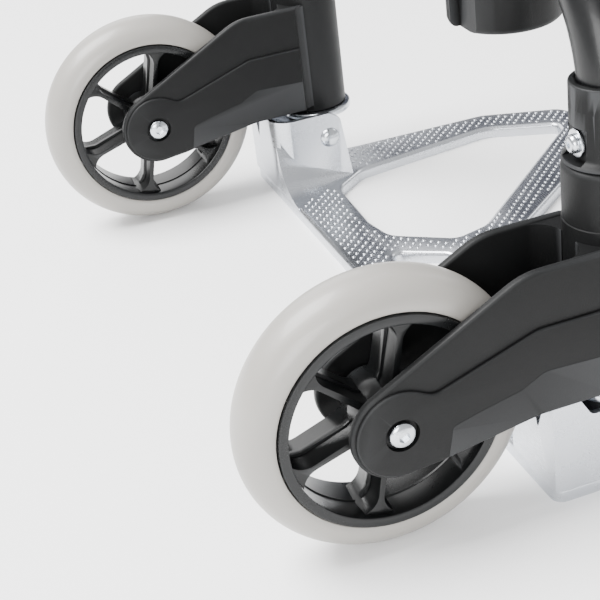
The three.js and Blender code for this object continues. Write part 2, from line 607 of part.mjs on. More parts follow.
/** Three upright walls of the left ear, which the foot block sits between. */
function ear() {
  const root = PLATE_TOP - SHEET / 2;
  const outer = PLATE_HALF_WIDTH - EAR_WALL;
  const plan = [[PLATE_REAR, EAR_INNER, EAR_BEND], [PAST, EAR_INNER],
    [PAST, PLATE_HALF_WIDTH + PAST], [PLATE_REAR, PLATE_HALF_WIDTH + PAST]];
  const bent = cut(prism('z', rounded(plan, 20), root, EAR_TOP),
    prism('z', rounded(inset(plan, EAR_WALL), 20), 0, EAR_TOP + 1));
  const innerWall = bent.intersect(prism('y', rounded([[PLATE_REAR - 1, root], [10.5, root],
    [5, EAR_TOP - 5, 3], [-2, EAR_TOP, 4], [PLATE_REAR - 1, EAR_TOP]]), 0, EAR_INNER + 21));
  const outerWall = prism('y', rounded([[PLATE_REAR, root], [5, root], [4.8, PIVOT_Z - 0.6, 4],
    [-7, PIVOT_Z + 6.4, 4], [-22, PIVOT_Z + 6.4, 4], [-28, EAR_TOP, 3], [PLATE_REAR, EAR_TOP, 0]]),
  outer, PLATE_HALF_WIDTH);
  const notch = POST_Y + CAM_PEG_Y;
  const rearWall = prism('x', rounded([[PLATE_HALF_WIDTH, root], [PLATE_HALF_WIDTH, EAR_TOP, 8],
    [notch + 8.5, EAR_TOP, 1], [notch, EAR_TOP - 20, 2], [notch - 8.5, EAR_TOP, 1],
    [EAR_INNER + 20, EAR_TOP, 3], [EAR_INNER + 14, 38, 12], [EAR_INNER + 1, 26, 12],
    [EAR_INNER - 16, 20, 10], [EAR_INNER - 28, root, 0]]), PLATE_REAR, PLATE_REAR + EAR_WALL);
  return cut(union(innerWall, outerWall, rearWall),
    bar('y', RIVET_RADIUS + GAP, EAR_INNER - 1, PLATE_HALF_WIDTH + 1, [PIVOT_X, 0, PIVOT_Z],
      SMALL_SIDES));
}

const toePlate = () => union(pressedPlate(), ear(), mirrored(ear()));

/** Pivot between the ear and the foot block, with a domed head at each end. */
function pivotRivet() {
  const inner = EAR_INNER - GAP;
  const outer = PLATE_HALF_WIDTH + GAP;
  return turned('y', [[0, inner - 3.2], [3.5, inner - 2.8], [5.8, inner - 1.6], [6.8, inner],
    [RIVET_RADIUS, inner], [RIVET_RADIUS, outer], [6.4, outer], [5.4, outer + 1.5],
    [3.2, outer + 2.6], [0, outer + 2.9]], [PIVOT_X, 0, PIVOT_Z], SMALL_SIDES);
}

// ---- Uprights and handle ------------------------------------------------------------------

const HANDLE_LEG_BOTTOM = HANDLE_Z - 42;
const BRIDGE_RISE = 12; // of the bridge above the outer tubes' ends
const PLUG_FOOT = 10;
const PLUG_ROOM = PLUG_FOOT + 4; // below the inner tubes with the handle pushed down
const HANDLE_TRAVEL = (HANDLE_LEG_BOTTOM - BRIDGE_RISE - 2 - TUBE_OVERLAP
  - SOCKET_BOTTOM - SOCKET_FLOOR - PLUG_ROOM) / 2;
const OUTER_TUBE_TOP = HANDLE_LEG_BOTTOM - HANDLE_TRAVEL - BRIDGE_RISE - 2;
const INNER_BOTTOM = SOCKET_BOTTOM + SOCKET_FLOOR + HANDLE_TRAVEL + PLUG_ROOM;
const INNER_TUBE_TOP = HANDLE_LEG_BOTTOM + 20;
const PLUG_RADIUS = INNER_TUBE_RADIUS - INNER_TUBE_WALL - GAP;
const PIN_Z = INNER_BOTTOM + 16;
const PIN_RADIUS = 3;
const PLUG_TOP = PIN_Z + 12;
const PLUG_SLIDE = OUTER_TUBE_RADIUS - OUTER_TUBE_WALL - GAP; // plug's radius in the outer tube
const ROD_RADIUS = 2.5;
const LINK_HALF = 4; // half height of the lock link inside the handle
const CHANNEL_HALF = 5; // half depth of the channel inside the handle
const TRIGGER_HALF = 34; // half length of the finger lever
const TRIGGER_HALF_WIDTH = 4.2;
const SHELL_SCREW_Y = 66;
const SHELL_SCREW_DROP = 9.5; // below the handle's centre line
const SHELL_SCREW_Z = HANDLE_Z - SHELL_SCREW_DROP;

const outerTube = () => ring('z', OUTER_TUBE_RADIUS - OUTER_TUBE_WALL, OUTER_TUBE_RADIUS,
  SOCKET_BOTTOM + SOCKET_FLOOR + GAP, OUTER_TUBE_TOP, [0, 0, 0], ROUND_SIDES);

const innerTube = () => cut(ring('z', INNER_TUBE_RADIUS - INNER_TUBE_WALL, INNER_TUBE_RADIUS,
  INNER_BOTTOM, INNER_TUBE_TOP, [0, 0, 0], ROUND_SIDES),
bar('y', PIN_RADIUS + GAP, 0, INNER_TUBE_RADIUS + 2, [0, 0, PIN_Z], SMALL_SIDES));

/** Plug at the foot of an inner tube: slides in the outer tube and guides the lock pin. */
function slidePlug() {
  const foot = INNER_BOTTOM - GAP;
  const body = turned('z', [[0, foot - PLUG_FOOT], [PLUG_SLIDE - 0.7, foot - PLUG_FOOT],
    [PLUG_SLIDE, foot - PLUG_FOOT + 1], [PLUG_SLIDE, foot], [PLUG_RADIUS, foot],
    [PLUG_RADIUS, PLUG_TOP], [0, PLUG_TOP]], [0, 0, 0], ROUND_SIDES);
  return cut(body, bar('y', PIN_RADIUS + GAP, 0, INNER_TUBE_RADIUS, [0, 0, PIN_Z], SMALL_SIDES));
}

const lockPin = () => turned('y', [[0, GAP], [PIN_RADIUS, GAP],
  [PIN_RADIUS, INNER_TUBE_RADIUS - 1], [PIN_RADIUS - 1, INNER_TUBE_RADIUS + GAP],
  [0, INNER_TUBE_RADIUS + GAP]], [0, 0, PIN_Z], SMALL_SIDES);

const lockRod = () => bar('z', ROD_RADIUS, PLUG_TOP + GAP, HANDLE_Z - LINK_HALF - GAP,
  [0, 0, 0], 12);

/** Moulding across the tops of the outer tubes, with a collar for each. */
function upperBridge() {
  const low = OUTER_TUBE_TOP - BRIDGE_DEPTH + BRIDGE_RISE;
  const high = OUTER_TUBE_TOP + BRIDGE_RISE;
  const collars = SIDES.map(({ sign }) =>
    bar('z', BRIDGE_RADIUS, low, high, [0, sign * TUBE_Y, 0], ROUND_SIDES));
  const beam = prism('x', rounded([[-TUBE_Y, low + 6, 0], [TUBE_Y, low + 6, 0],
    [TUBE_Y, high - 6, 0], [-TUBE_Y, high - 6, 0]]), -9, 9);
  const bores = SIDES.flatMap(({ sign }) => [
    bar('z', OUTER_TUBE_RADIUS + GAP, low - 1, OUTER_TUBE_TOP + GAP, [0, sign * TUBE_Y, 0],
      ROUND_SIDES),
    bar('z', INNER_TUBE_RADIUS + GAP, low, high + 1, [0, sign * TUBE_Y, 0], ROUND_SIDES)]);
  const inside = TUBE_Y - BRIDGE_RADIUS - 2;
  const relief = block([-6, -inside, low], [6, inside, high - 9]);
  return cut(union(...collars, beam), ...bores, relief);
}

/** Hollow handle moulding before it is split into its front and rear shells. */
function handleBody() {
  const corner = (y, z) => new THREE.Vector3(0, y, z);
  const line = new BentLine([corner(TUBE_Y, HANDLE_LEG_BOTTOM), corner(TUBE_Y, HANDLE_Z),
    corner(-TUBE_Y, HANDLE_Z), corner(-TUBE_Y, HANDLE_LEG_BOTTOM)], HANDLE_BEND, 6);
  const legs = SIDES.flatMap(({ sign }) => [
    bar('z', INNER_TUBE_RADIUS + GAP, HANDLE_LEG_BOTTOM - 1, INNER_TUBE_TOP + GAP,
      [0, sign * TUBE_Y, 0], 32),
    block([-CHANNEL_HALF, sign * TUBE_Y - CHANNEL_HALF, HANDLE_LEG_BOTTOM],
      [CHANNEL_HALF, sign * TUBE_Y + CHANNEL_HALF, HANDLE_Z + LINK_HALF + 1])]);
  const room = LINK_HALF + TRIGGER_TRAVEL + 1;
  const channel = block([-CHANNEL_HALF, -TUBE_Y - 3, HANDLE_Z - LINK_HALF - 2],
    [CHANNEL_HALF, TUBE_Y + 3, HANDLE_Z + LINK_HALF + 1]);
  const lift = block([-CHANNEL_HALF, -TUBE_Y + 22, HANDLE_Z - LINK_HALF - 2],
    [CHANNEL_HALF, TUBE_Y - 22, HANDLE_Z + room]);
  const slot = block([-CHANNEL_HALF, -TRIGGER_HALF - 1, HANDLE_Z - HANDLE_RADIUS - 2],
    [CHANNEL_HALF, TRIGGER_HALF + 1, HANDLE_Z]);
  const screwHoles = SIDES.map(({ sign }) =>
    bar('x', 1.8, -HANDLE_RADIUS - 1, HANDLE_RADIUS - 6, [0, sign * SHELL_SCREW_Y, SHELL_SCREW_Z],
      SMALL_SIDES));
  return cut(sweptBar(line, HANDLE_RADIUS, ROUND_SIDES), ...legs, channel, lift, slot,
    ...screwHoles);
}

const handleShell = (sign) => {
  const [low, high] = sign > 0 ? [GAP / 2, PAST] : [-PAST, -GAP / 2];
  return handleBody().intersect(block([low, -300, 0], [high, 300, HANDLE_TOP + 50]));
};

/** Screw that pulls the two handle shells together, from the rear. */
function shellScrew() {
  const seat = -Math.sqrt(HANDLE_RADIUS ** 2 - SHELL_SCREW_DROP ** 2) - 2.6;
  const head = turned('x', [[0, seat], [3, seat], [2.6, seat - 1.4], [0, seat - 1.8]],
    [0, 0, SHELL_SCREW_Z], SMALL_SIDES);
  return head.add(bar('x', 1.5, seat - 0.5, 6, [0, 0, SHELL_SCREW_Z], 12));
}

const grip = () => cut(ring('y', HANDLE_RADIUS + GAP, GRIP_RADIUS, -GRIP_HALF_LENGTH,
  GRIP_HALF_LENGTH, [0, 0, HANDLE_Z], 32),
block([-6, -TRIGGER_HALF - 2, HANDLE_Z - GRIP_RADIUS - 1],
  [6, TRIGGER_HALF + 2, HANDLE_Z - HANDLE_RADIUS + 4]));

/** Finger lever under the grip; it lifts the lock link. */
function releaseTrigger() {
  const low = HANDLE_Z - GRIP_RADIUS - TRIGGER_TRAVEL - 2;
  const high = HANDLE_Z - LINK_HALF - GAP;
  return prism('x', rounded([[-TRIGGER_HALF, low + 5, 0], [-TRIGGER_HALF + 8, low, 6],
    [TRIGGER_HALF - 8, low, 6], [TRIGGER_HALF, low + 5, 0], [TRIGGER_HALF, low + 10, 0],
    [10, low + 10, 0], [10, high, 0], [-10, high, 0], [-10, low + 10, 0],
    [-TRIGGER_HALF, low + 10, 0]]), -TRIGGER_HALF_WIDTH, TRIGGER_HALF_WIDTH);
}

/** Bar inside the handle that carries the trigger's pull to both lock rods. */
const lockLink = () => block([-3, -TUBE_Y + 0.5 - ROD_RADIUS, HANDLE_Z - LINK_HALF],
  [3, TUBE_Y - 0.5 + ROD_RADIUS, HANDLE_Z - LINK_HALF + 4]);

// ---- Putting it together ------------------------------------------------------------------

add(trolley, 'toe_plate', toePlate(), aluminium);
add(trolley, 'lower_cross_tube', crossTube(), blackPaint);
add(trolley, 'upper_bridge', upperBridge(), blackNylon);
add(trolley, 'handle_front_shell', handleShell(1), blackNylon);
add(trolley, 'handle_rear_shell', handleShell(-1), blackNylon);
add(trolley, 'grip', grip(), softGrip);
add(trolley, 'release_trigger', releaseTrigger(), glossNylon);
add(trolley, 'lock_link', lockLink(), zinc);

for (const side of SIDES) {
  addSided(trolley, side, 'pivot_rivet', pivotRivet(), zinc);

  const post = new THREE.Group();
  post.position.y = side.sign * POST_Y;
  trolley.add(post);
  addSided(post, side, 'foot_block', footBlock(), blackNylon);
  addSided(post, side, 'arch_tube', archTube(), blackPaint);
  addSided(post, side, 'thrust_washer', thrustWasher(), zinc);
  addSided(post, side, 'fork', fork(), blackNylon);
  addSided(post, side, 'lower_bush', forkBush(SLEEVE_BOTTOM + GAP), acetal);
  addSided(post, side, 'upper_bush', forkBush(SLEEVE_TOP - TONGUE_DEPTH - 1 - GAP - BUSH_LENGTH),
    acetal);
  addSided(post, side, 'cam_peg', camPeg(), acetal);
  addSided(post, side, 'collar', collar(), blackNylon);
  addSided(post, side, 'collar_washer', collarWasher(), zinc);
  addSided(post, side, 'collar_screw', collarScrew(), zinc);

  const wheel = new THREE.Group();
  wheel.position.set(-WHEEL_TRAIL, 0, AXLE_Z);
  post.add(wheel);
  add(wheel, `${side.name}_tyre`, tyre(), greyTyre);
  add(wheel, `${side.name}_hub`, hub(), glossNylon);
  add(wheel, `${side.name}_near_bearing`, bearing(-1), bearingSteel);
  add(wheel, `${side.name}_far_bearing`, bearing(1), bearingSteel);
  add(wheel, `${side.name}_bearing_spacer`, bearingSpacer(), zinc);
  add(wheel, `${side.name}_axle_bolt`, axleBolt(), zinc);
  add(wheel, `${side.name}_axle_nut`, axleNut(), zinc);

  const upright = new THREE.Group();
  upright.position.y = side.sign * TUBE_Y;
  trolley.add(upright);
  addSided(upright, side, 'tube_socket', tubeSocket(), blackNylon);
  addSided(upright, side, 'outer_tube', outerTube(), aluminium);
  addSided(upright, side, 'inner_tube', innerTube(), aluminium);
  addSided(upright, side, 'slide_plug', slidePlug(), acetal);
  addSided(upright, side, 'lock_pin', lockPin(), zinc);
  addSided(upright, side, 'lock_rod', lockRod(), zinc);

  const shellFastening = new THREE.Group();
  shellFastening.position.y = side.sign * SHELL_SCREW_Y;
  trolley.add(shellFastening);
  add(shellFastening, `${side.name}_shell_screw`, shellScrew(), zinc);
}

export default trolley;
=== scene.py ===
"""Folding two-wheel shopping trolley chassis: detailed visual pieces around the design frame."""

import json
import logging
import math
from collections.abc import Callable, Iterable, Sequence
from dataclasses import dataclass, field
from enum import Enum

import bpy
from mathutils import Matrix, Vector

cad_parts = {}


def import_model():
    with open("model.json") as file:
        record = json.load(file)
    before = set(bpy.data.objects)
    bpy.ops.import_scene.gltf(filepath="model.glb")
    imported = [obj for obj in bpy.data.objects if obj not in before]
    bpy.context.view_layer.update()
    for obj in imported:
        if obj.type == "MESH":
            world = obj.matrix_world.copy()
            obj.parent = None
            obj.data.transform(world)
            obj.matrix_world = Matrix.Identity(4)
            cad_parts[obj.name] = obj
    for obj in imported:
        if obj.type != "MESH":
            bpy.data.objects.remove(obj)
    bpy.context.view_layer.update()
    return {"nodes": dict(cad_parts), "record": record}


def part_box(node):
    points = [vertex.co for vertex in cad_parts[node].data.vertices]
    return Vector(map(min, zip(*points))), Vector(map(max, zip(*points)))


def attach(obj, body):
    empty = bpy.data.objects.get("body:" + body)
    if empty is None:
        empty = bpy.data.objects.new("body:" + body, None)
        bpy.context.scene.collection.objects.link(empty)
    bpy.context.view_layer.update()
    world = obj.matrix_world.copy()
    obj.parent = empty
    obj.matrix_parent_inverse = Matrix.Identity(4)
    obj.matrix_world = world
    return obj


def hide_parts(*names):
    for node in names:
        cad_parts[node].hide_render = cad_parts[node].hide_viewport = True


LOG = logging.getLogger("trolley")
MM = 0.001
GAP = 0.3  # millimetres between pieces that touch
Point = tuple[float, float, float]  # a place
Corner = tuple[float, float, float]  # a corner of an outline, with its radius
Flat = tuple[float, float]  # a place on a flat drawing


class Axis(Enum):
    """Direction that a piece is turned about or pushed along."""

    X = "x"
    Y = "y"
    Z = "z"


class Side(Enum):
    """Half of the trolley, with the sign of its y."""

    LEFT = 1
    RIGHT = -1

    def node(self, name: str) -> str:
        """Name of this side's copy of a design node."""
        return f"{self.name.lower()}_{name}"


# Turns a piece drawn along +Z so that it points along each axis. For Y the drawing's y is -Z.
LAY = {
    Axis.X: Matrix(((0, 0, 1), (1, 0, 0), (0, 1, 0))).to_4x4(),
    Axis.Y: Matrix(((1, 0, 0), (0, 0, 1), (0, -1, 0))).to_4x4(),
    Axis.Z: Matrix.Identity(4),
}

# ---- Finishes ---------------------------------------------------------------------------


def linear(colour: str) -> tuple[float, float, float, float]:
    """Turns an sRGB hex colour into linear values.

    Args:
        colour: Six hex digits.

    Returns:
        Red, green, blue and an alpha of 1.
    """
    parts = [int(colour[i:i + 2], 16) / 255 for i in (0, 2, 4)]
    red, green, blue = (c / 12.92 if c <= 0.04045 else ((c + 0.055) / 1.055) ** 2.4 for c in parts)
    return red, green, blue, 1.0


def add_node(tree: bpy.types.NodeTree, kind: str, settings: dict | None = None,
             links: dict | None = None) -> bpy.types.Node:
    """Adds one shader node.

    Args:
        tree: The material's node tree.
        kind: The node's type, such as ShaderNodeTexNoise.
        settings: Attribute names, or input names, to their values.
        links: Input names or numbers to the output sockets that feed them.

    Returns:
        The new node.
    """
    node = tree.nodes.new(kind)
    for name, value in (settings or {}).items():
        if isinstance(name, int) or name in node.inputs:
            node.inputs[name].default_value = value
        else:
            setattr(node, name, value)
    for name, socket in (links or {}).items():
        tree.links.new(socket, node.inputs[name])
    return node


@dataclass(frozen=True)
class Finish:
    """A surface: a base colour that drifts a little, a roughness that varies, and a fine relief.

    Lengths are in millimetres. `stretch` scales the object's axes for the relief, so that a
    value below 1 draws it out into streaks along that axis.
    """

    name: str
    shade: str
    light_shade: str
    roughness: tuple[float, float]
    metallic: float = 0.0
    ior: float = 1.5
    grain_mm: float = 0.5
    drift_mm: float = 40.0
    relief_mm: float = 0.02
    stretch: Point = (1.0, 1.0, 1.0)
    coat: float = 0.0
    edge_wear: float = 0.0
    worn_shade: str = "8d8f92"

    def build(self) -> bpy.types.Material:
        """Makes the material, or finds it if it is made already."""
        if self.name in bpy.data.materials:
            return bpy.data.materials[self.name]
        material = bpy.data.materials.new(self.name)
        material.use_nodes = True
        tree = material.node_tree
        shader = tree.nodes["Principled BSDF"]
        coords = add_node(tree, "ShaderNodeTexCoord").outputs["Object"]
        streaked = add_node(tree, "ShaderNodeMapping", {"Scale": self.stretch}, {"Vector": coords})
        grain = add_node(tree, "ShaderNodeTexNoise", {
            "Scale": 1 / (self.grain_mm * MM), "Detail": 2.0, "Roughness": 0.55},
            {"Vector": streaked.outputs["Vector"]})
        drift = add_node(tree, "ShaderNodeTexNoise", {
            "Scale": 1 / (self.drift_mm * MM), "Detail": 3.0}, {"Vector": coords})
        colour = add_node(tree, "ShaderNodeMix", {"data_type": "RGBA"},
                          {0: drift.outputs["Fac"]})
        colour.inputs[6].default_value = linear(self.shade)
        colour.inputs[7].default_value = linear(self.light_shade)
        base = colour.outputs[2]
        if self.edge_wear:
            base = self.rubbed(tree, base)
        tree.links.new(base, shader.inputs["Base Color"])
        both = add_node(tree, "ShaderNodeMath", {"operation": "MULTIPLY_ADD", 1: 0.5},
                        {0: grain.outputs["Fac"], 2: drift.outputs["Fac"]})
        rough = add_node(tree, "ShaderNodeMapRange", {
            "From Min": 0.45, "From Max": 1.05, "To Min": self.roughness[0],
            "To Max": self.roughness[1]}, {"Value": both.outputs[0]})
        tree.links.new(rough.outputs["Result"], shader.inputs["Roughness"])
        bump = add_node(tree, "ShaderNodeBump", {"Strength": 1.0, "Distance": self.relief_mm * MM},
                        {"Height": grain.outputs["Fac"]})
        tree.links.new(bump.outputs["Normal"], shader.inputs["Normal"])
        shader.inputs["Metallic"].default_value = self.metallic
        shader.inputs["IOR"].default_value = self.ior
        shader.inputs["Coat Weight"].default_value = self.coat
        return material

    def rubbed(self, tree: bpy.types.NodeTree, base: bpy.types.NodeSocket) -> bpy.types.NodeSocket:
        """Lightens the colour along sharp edges, where handling rubs the surface."""
        edge = add_node(tree, "ShaderNodeNewGeometry").outputs["Pointiness"]
        worn = add_node(tree, "ShaderNodeMapRange", {
            "From Min": 0.52, "From Max": 0.6, "To Min": 0.0, "To Max": self.edge_wear},
            {"Value": edge})
        mix = add_node(tree, "ShaderNodeMix", {"data_type": "RGBA"},
                       {0: worn.outputs["Result"], 6: base})
        mix.inputs[7].default_value = linear(self.worn_shade)
        return mix.outputs[2]


# Glass-filled nylon from a spark-eroded mould: a sand grain, drawn a little coarse so that it
# shows, which greys the highlights.
SAND_NYLON = Finish("glass_filled_nylon_spark_eroded", "0a0a0b", "0f1010", (0.42, 0.58),
                    ior=1.27, grain_mm=0.75, relief_mm=0.06, edge_wear=0.1)
# Nylon from a polished mould: black, with clear soft-edged highlights.
SMOOTH_NYLON = Finish("nylon_polished_mould", "090a0a", "0d0e0f", (0.24, 0.34),
                      ior=1.36, grain_mm=1.6, relief_mm=0.008, edge_wear=0.06)
# Thermoplastic rubber tread: warm grey, satin, with one broad soft highlight.
TYRE_RUBBER = Finish("thermoplastic_rubber_moulded", "8a8782", "918e89", (0.36, 0.44),
                     grain_mm=0.9, relief_mm=0.012, drift_mm=60, coat=0.15)
# Rolled aluminium sheet, pressed and tumbled: bright, streaked along its length.
PRESSED_SHEET = Finish("aluminium_sheet_pressed", "bfc2c8", "d3d6db", (0.22, 0.33), 1.0,
                       grain_mm=0.9, relief_mm=0.003, stretch=(1.0, 0.12, 1.0), drift_mm=30)
# Drawn aluminium tube, clear anodised: even satin with faint drawing lines along it.
ANODISED_TUBE = Finish("aluminium_tube_anodised", "bfc2c6", "cfd2d5", (0.26, 0.34), 1.0,
                       grain_mm=0.6, relief_mm=0.006, stretch=(1.0, 1.0, 0.05))
# Steel with bright zinc plate: a cool mirror, clouded by the passivation.
BRIGHT_ZINC = Finish("steel_bright_zinc", "bcc1c7", "d3d6da", (0.16, 0.3), 1.0,
                     grain_mm=1.2, relief_mm=0.008, drift_mm=7)
# Steel tube with black powder coat: faint orange peel under an even gloss.
POWDER_COAT = Finish("steel_black_powder_coat", "0a0a0b", "0e0f10", (0.3, 0.4),
                     ior=1.36, grain_mm=1.8, relief_mm=0.03, coat=0.06)
# Ground bearing steel: darker and sharper than the zinc.
GROUND_STEEL = Finish("bearing_steel_ground", "8e9195", "a2a5a9", (0.14, 0.24), 1.0,
                      grain_mm=0.8, relief_mm=0.004)
# Natural acetal: off-white, slightly waxy.
ACETAL = Finish("acetal_natural", "d8d5ca", "e2dfd5", (0.32, 0.42), grain_mm=2.0, relief_mm=0.01)
# Soft-touch moulded grip: matt, with an even fine texture.
SOFT_GRIP = Finish("thermoplastic_rubber_grip", "17181a", "1e1f21", (0.68, 0.82),
                   grain_mm=0.9, relief_mm=0.08)


def dress(piece: bpy.types.Object, finish: Finish) -> None:
    """Gives a piece one finish in all its material slots."""
    if not piece.material_slots:
        piece.data.materials.append(finish.build())
    for holder in piece.material_slots:
        holder.material = finish.build()


# ---- Modelling bench --------------------------------------------------------------------


def start() -> None:
    """Leaves edit mode with nothing selected."""
    if bpy.context.object and bpy.context.object.mode != "OBJECT":
        bpy.ops.object.mode_set(mode="OBJECT")
    bpy.ops.object.select_all(action="DESELECT")


def pick(piece: bpy.types.Object) -> None:
    """Selects one piece alone and makes it the active one."""
    start()
    piece.select_set(True)
    bpy.context.view_layer.objects.active = piece


def settle(piece: bpy.types.Object) -> None:
    """Writes a piece's place, turn and scale into its mesh."""
    pick(piece)
    bpy.ops.object.transform_apply(location=True, rotation=True, scale=True)


def named(piece: bpy.types.Object, name: str) -> bpy.types.Object:
    """Names a piece and its mesh."""
    piece.name = piece.data.name = name
    return piece


def edit(piece: bpy.types.Object, everything: bool = True) -> None:
    """Opens a piece in edit mode, all selected or nothing selected."""
    pick(piece)
    bpy.ops.object.mode_set(mode="EDIT")
    bpy.ops.mesh.select_all(action="SELECT" if everything else "DESELECT")


def place(piece: bpy.types.Object, name: str, axis: Axis,
          centre: Sequence[float]) -> bpy.types.Object:
    """Lays a piece drawn at the origin along an axis, at its place, with its transform applied."""
    piece.matrix_world = Matrix.Translation(Vector(centre)) @ LAY[axis]
    settle(piece)
    return named(piece, name)


def smooth(piece: bpy.types.Object, degrees: float = 32) -> None:
    """Shades a piece smooth, with edges past an angle left crisp."""
    pick(piece)
    bpy.ops.object.shade_smooth_by_angle(angle=math.radians(degrees))


def tidy(piece: bpy.types.Object) -> None:
    """Merges doubled vertices and turns all faces outwards."""
    edit(piece)
    bpy.ops.mesh.remove_doubles(threshold=0.000005)
    bpy.ops.mesh.normals_make_consistent(inside=False)
    bpy.ops.object.mode_set(mode="OBJECT")


def apply_all(piece: bpy.types.Object) -> None:
    """Applies every modifier of a piece, in order."""
    pick(piece)
    for modifier in list(piece.modifiers):
        bpy.ops.object.modifier_apply(modifier=modifier.name)


def soften(piece: bpy.types.Object, width: float, segments: int = 2, degrees: float = 35) -> None:
    """Rounds every edge that is sharper than an angle."""
    bevel = piece.modifiers.new("edge_round", "BEVEL")
    bevel.width = width
    bevel.segments = segments
    bevel.limit_method = "ANGLE"
    bevel.angle_limit = math.radians(degrees)
    bevel.harden_normals = False
    apply_all(piece)


def combine(piece: bpy.types.Object, others: Iterable[bpy.types.Object],
            operation: str = "DIFFERENCE") -> bpy.types.Object:
    """Joins or cuts a piece with others, which are used up."""
    for other in others:
        step = piece.modifiers.new("combine", "BOOLEAN")
        step.operation = operation
        step.object = other
        step.solver = "EXACT"
        apply_all(piece)
        bpy.data.objects.remove(other, do_unlink=True)
    return piece


def copy_of(piece: bpy.types.Object, name: str) -> bpy.types.Object:
    """Copies a piece with a mesh of its own."""
    pick(piece)
    bpy.ops.object.duplicate(linked=False)
    return named(bpy.context.object, name)


def mirror_of(piece: bpy.types.Object, name: str) -> bpy.types.Object:
    """Copies a piece to the other side of the trolley."""
    twin = copy_of(piece, name)
    twin.scale = (1, -1, 1)
    settle(twin)
    edit(twin)
    bpy.ops.mesh.normals_make_consistent(inside=False)
    bpy.ops.object.mode_set(mode="OBJECT")
    return twin


def arc(centre: Flat, radius: float, start_angle: float, end_angle: float,
        steps: int) -> list[Flat]:
    """Points along an arc, angles in degrees."""
    angles = [math.radians(start_angle + (end_angle - start_angle) * i / steps)
              for i in range(steps + 1)]
    return [(centre[0] + radius * math.cos(a), centre[1] + radius * math.sin(a)) for a in angles]


def rounded(corners: Sequence[Corner], step: float = 9) -> list[Flat]:
    """Points of a closed outline whose (x, y, radius) corners are rounded."""
    points: list[Flat] = []
    for i, (x, y, radius) in enumerate(corners):
        here = Vector((x, y))
        before = Vector(corners[i - 1][:2]) - here
        after = Vector(corners[(i + 1) % len(corners)][:2]) - here
        room = min(before.length, after.length) / 2
        before.normalize()
        after.normalize()
        half = math.acos(max(-1.0, min(1.0, before.dot(after)))) / 2
        if radius <= 0 or half > math.radians(89.5):
            points.append((x, y))
            continue
        reach = min(radius / math.tan(half), room)
        round_radius = reach * math.tan(half)
        centre = here + (before + after).normalized() * (round_radius / math.sin(half))
        first, last = here + before * reach - centre, here + after * reach - centre
        begin = math.atan2(first.y, first.x)
        sweep = (math.atan2(last.y, last.x) - begin + math.pi) % math.tau - math.pi
        steps = max(1, math.ceil(abs(math.degrees(sweep)) / step))
        points += arc(tuple(centre), round_radius, math.degrees(begin),
                      math.degrees(begin + sweep), steps)
    return points


POLE_RADIUS = 0.00001  # of a circle that closes on the axis, before its corners are merged


def turned(name: str, profile: Sequence[Flat], centre: Sequence[float], axis: Axis = Axis.Z,
           sides: int = 96, closed: bool = False) -> bpy.types.Object:
    """Turns a round piece: a circle extruded and resized from station to station.

    Args:
        name: The piece's name.
        profile: (radius, station) pairs, in metres, along the axis.
        centre: Where the drawing's origin goes.
        axis: The axis that it is turned about.
        sides: Flats round it.
        closed: True where the profile ends where it starts, as on a ring.

    Returns:
        The piece.
    """
    start()
    (radius, station), *rest = [(max(radius, POLE_RADIUS), station) for radius, station in profile]
    bpy.ops.mesh.primitive_circle_add(vertices=sides, radius=radius, location=(0, 0, station))
    piece = bpy.context.object
    edit(piece)
    if not closed:
        bpy.ops.mesh.edge_face_add()
    for next_radius, next_station in rest:
        bpy.ops.mesh.extrude_region_move(
            TRANSFORM_OT_translate={"value": (0, 0, next_station - station)})
        ratio = next_radius / radius
        bpy.ops.transform.resize(value=(ratio, ratio, 1))
        radius, station = next_radius, next_station
    bpy.ops.object.mode_set(mode="OBJECT")
    settle(piece)
    tidy(piece)
    return place(piece, name, axis, centre)


def outline_piece(name: str, points: Sequence[Flat], low: float, high: float,
                  axis: Axis = Axis.Z, centre: Sequence[float] = (0, 0, 0)) -> bpy.types.Object:
    """Draws an outline vertex by vertex, fills it and extrudes it between two stations.

    For axis Z the points are (x, y), for X they are (y, z) and for Y they are (x, z).
    """
    start()
    bpy.ops.mesh.primitive_plane_add(size=0.001, location=(0, 0, 0))
    piece = bpy.context.object
    edit(piece)
    bpy.ops.mesh.merge(type="CENTER")
    drawn = [Vector((u, -v if axis is Axis.Y else v, low)) for u, v in points]
    bpy.ops.transform.translate(value=drawn[0])
    for before, after in zip(drawn, drawn[1:]):
        bpy.ops.mesh.extrude_vertices_move(TRANSFORM_OT_translate={"value": after - before})
    bpy.ops.mesh.select_all(action="SELECT")
    bpy.ops.mesh.edge_face_add()
    bpy.ops.mesh.extrude_region_move(TRANSFORM_OT_translate={"value": (0, 0, high - low)})
    bpy.ops.mesh.select_all(action="SELECT")
    bpy.ops.mesh.normals_make_consistent(inside=False)
    bpy.ops.object.mode_set(mode="OBJECT")
    return place(piece, name, axis, centre)


def millimetres(corners: Iterable[Sequence[float]]) -> list[tuple[float, ...]]:
    """Turns a list of points given in millimetres into metres."""
    return [tuple(value * MM for value in corner) for corner in corners]


def spot(*values: float) -> tuple[float, ...]:
    """Turns a place given in millimetres into metres."""
    return tuple(value * MM for value in values)


def rod(name: str, radius: float, low: float, high: float, centre: Sequence[float],
        axis: Axis = Axis.Z, sides: int = 32) -> bpy.types.Object:
    """Turns a plain round bar between two stations, with its sizes in millimetres."""
    profile = millimetres([(0, low), (radius, low), (radius, high), (0, high)])
    return turned(name, profile, centre, axis, sides)


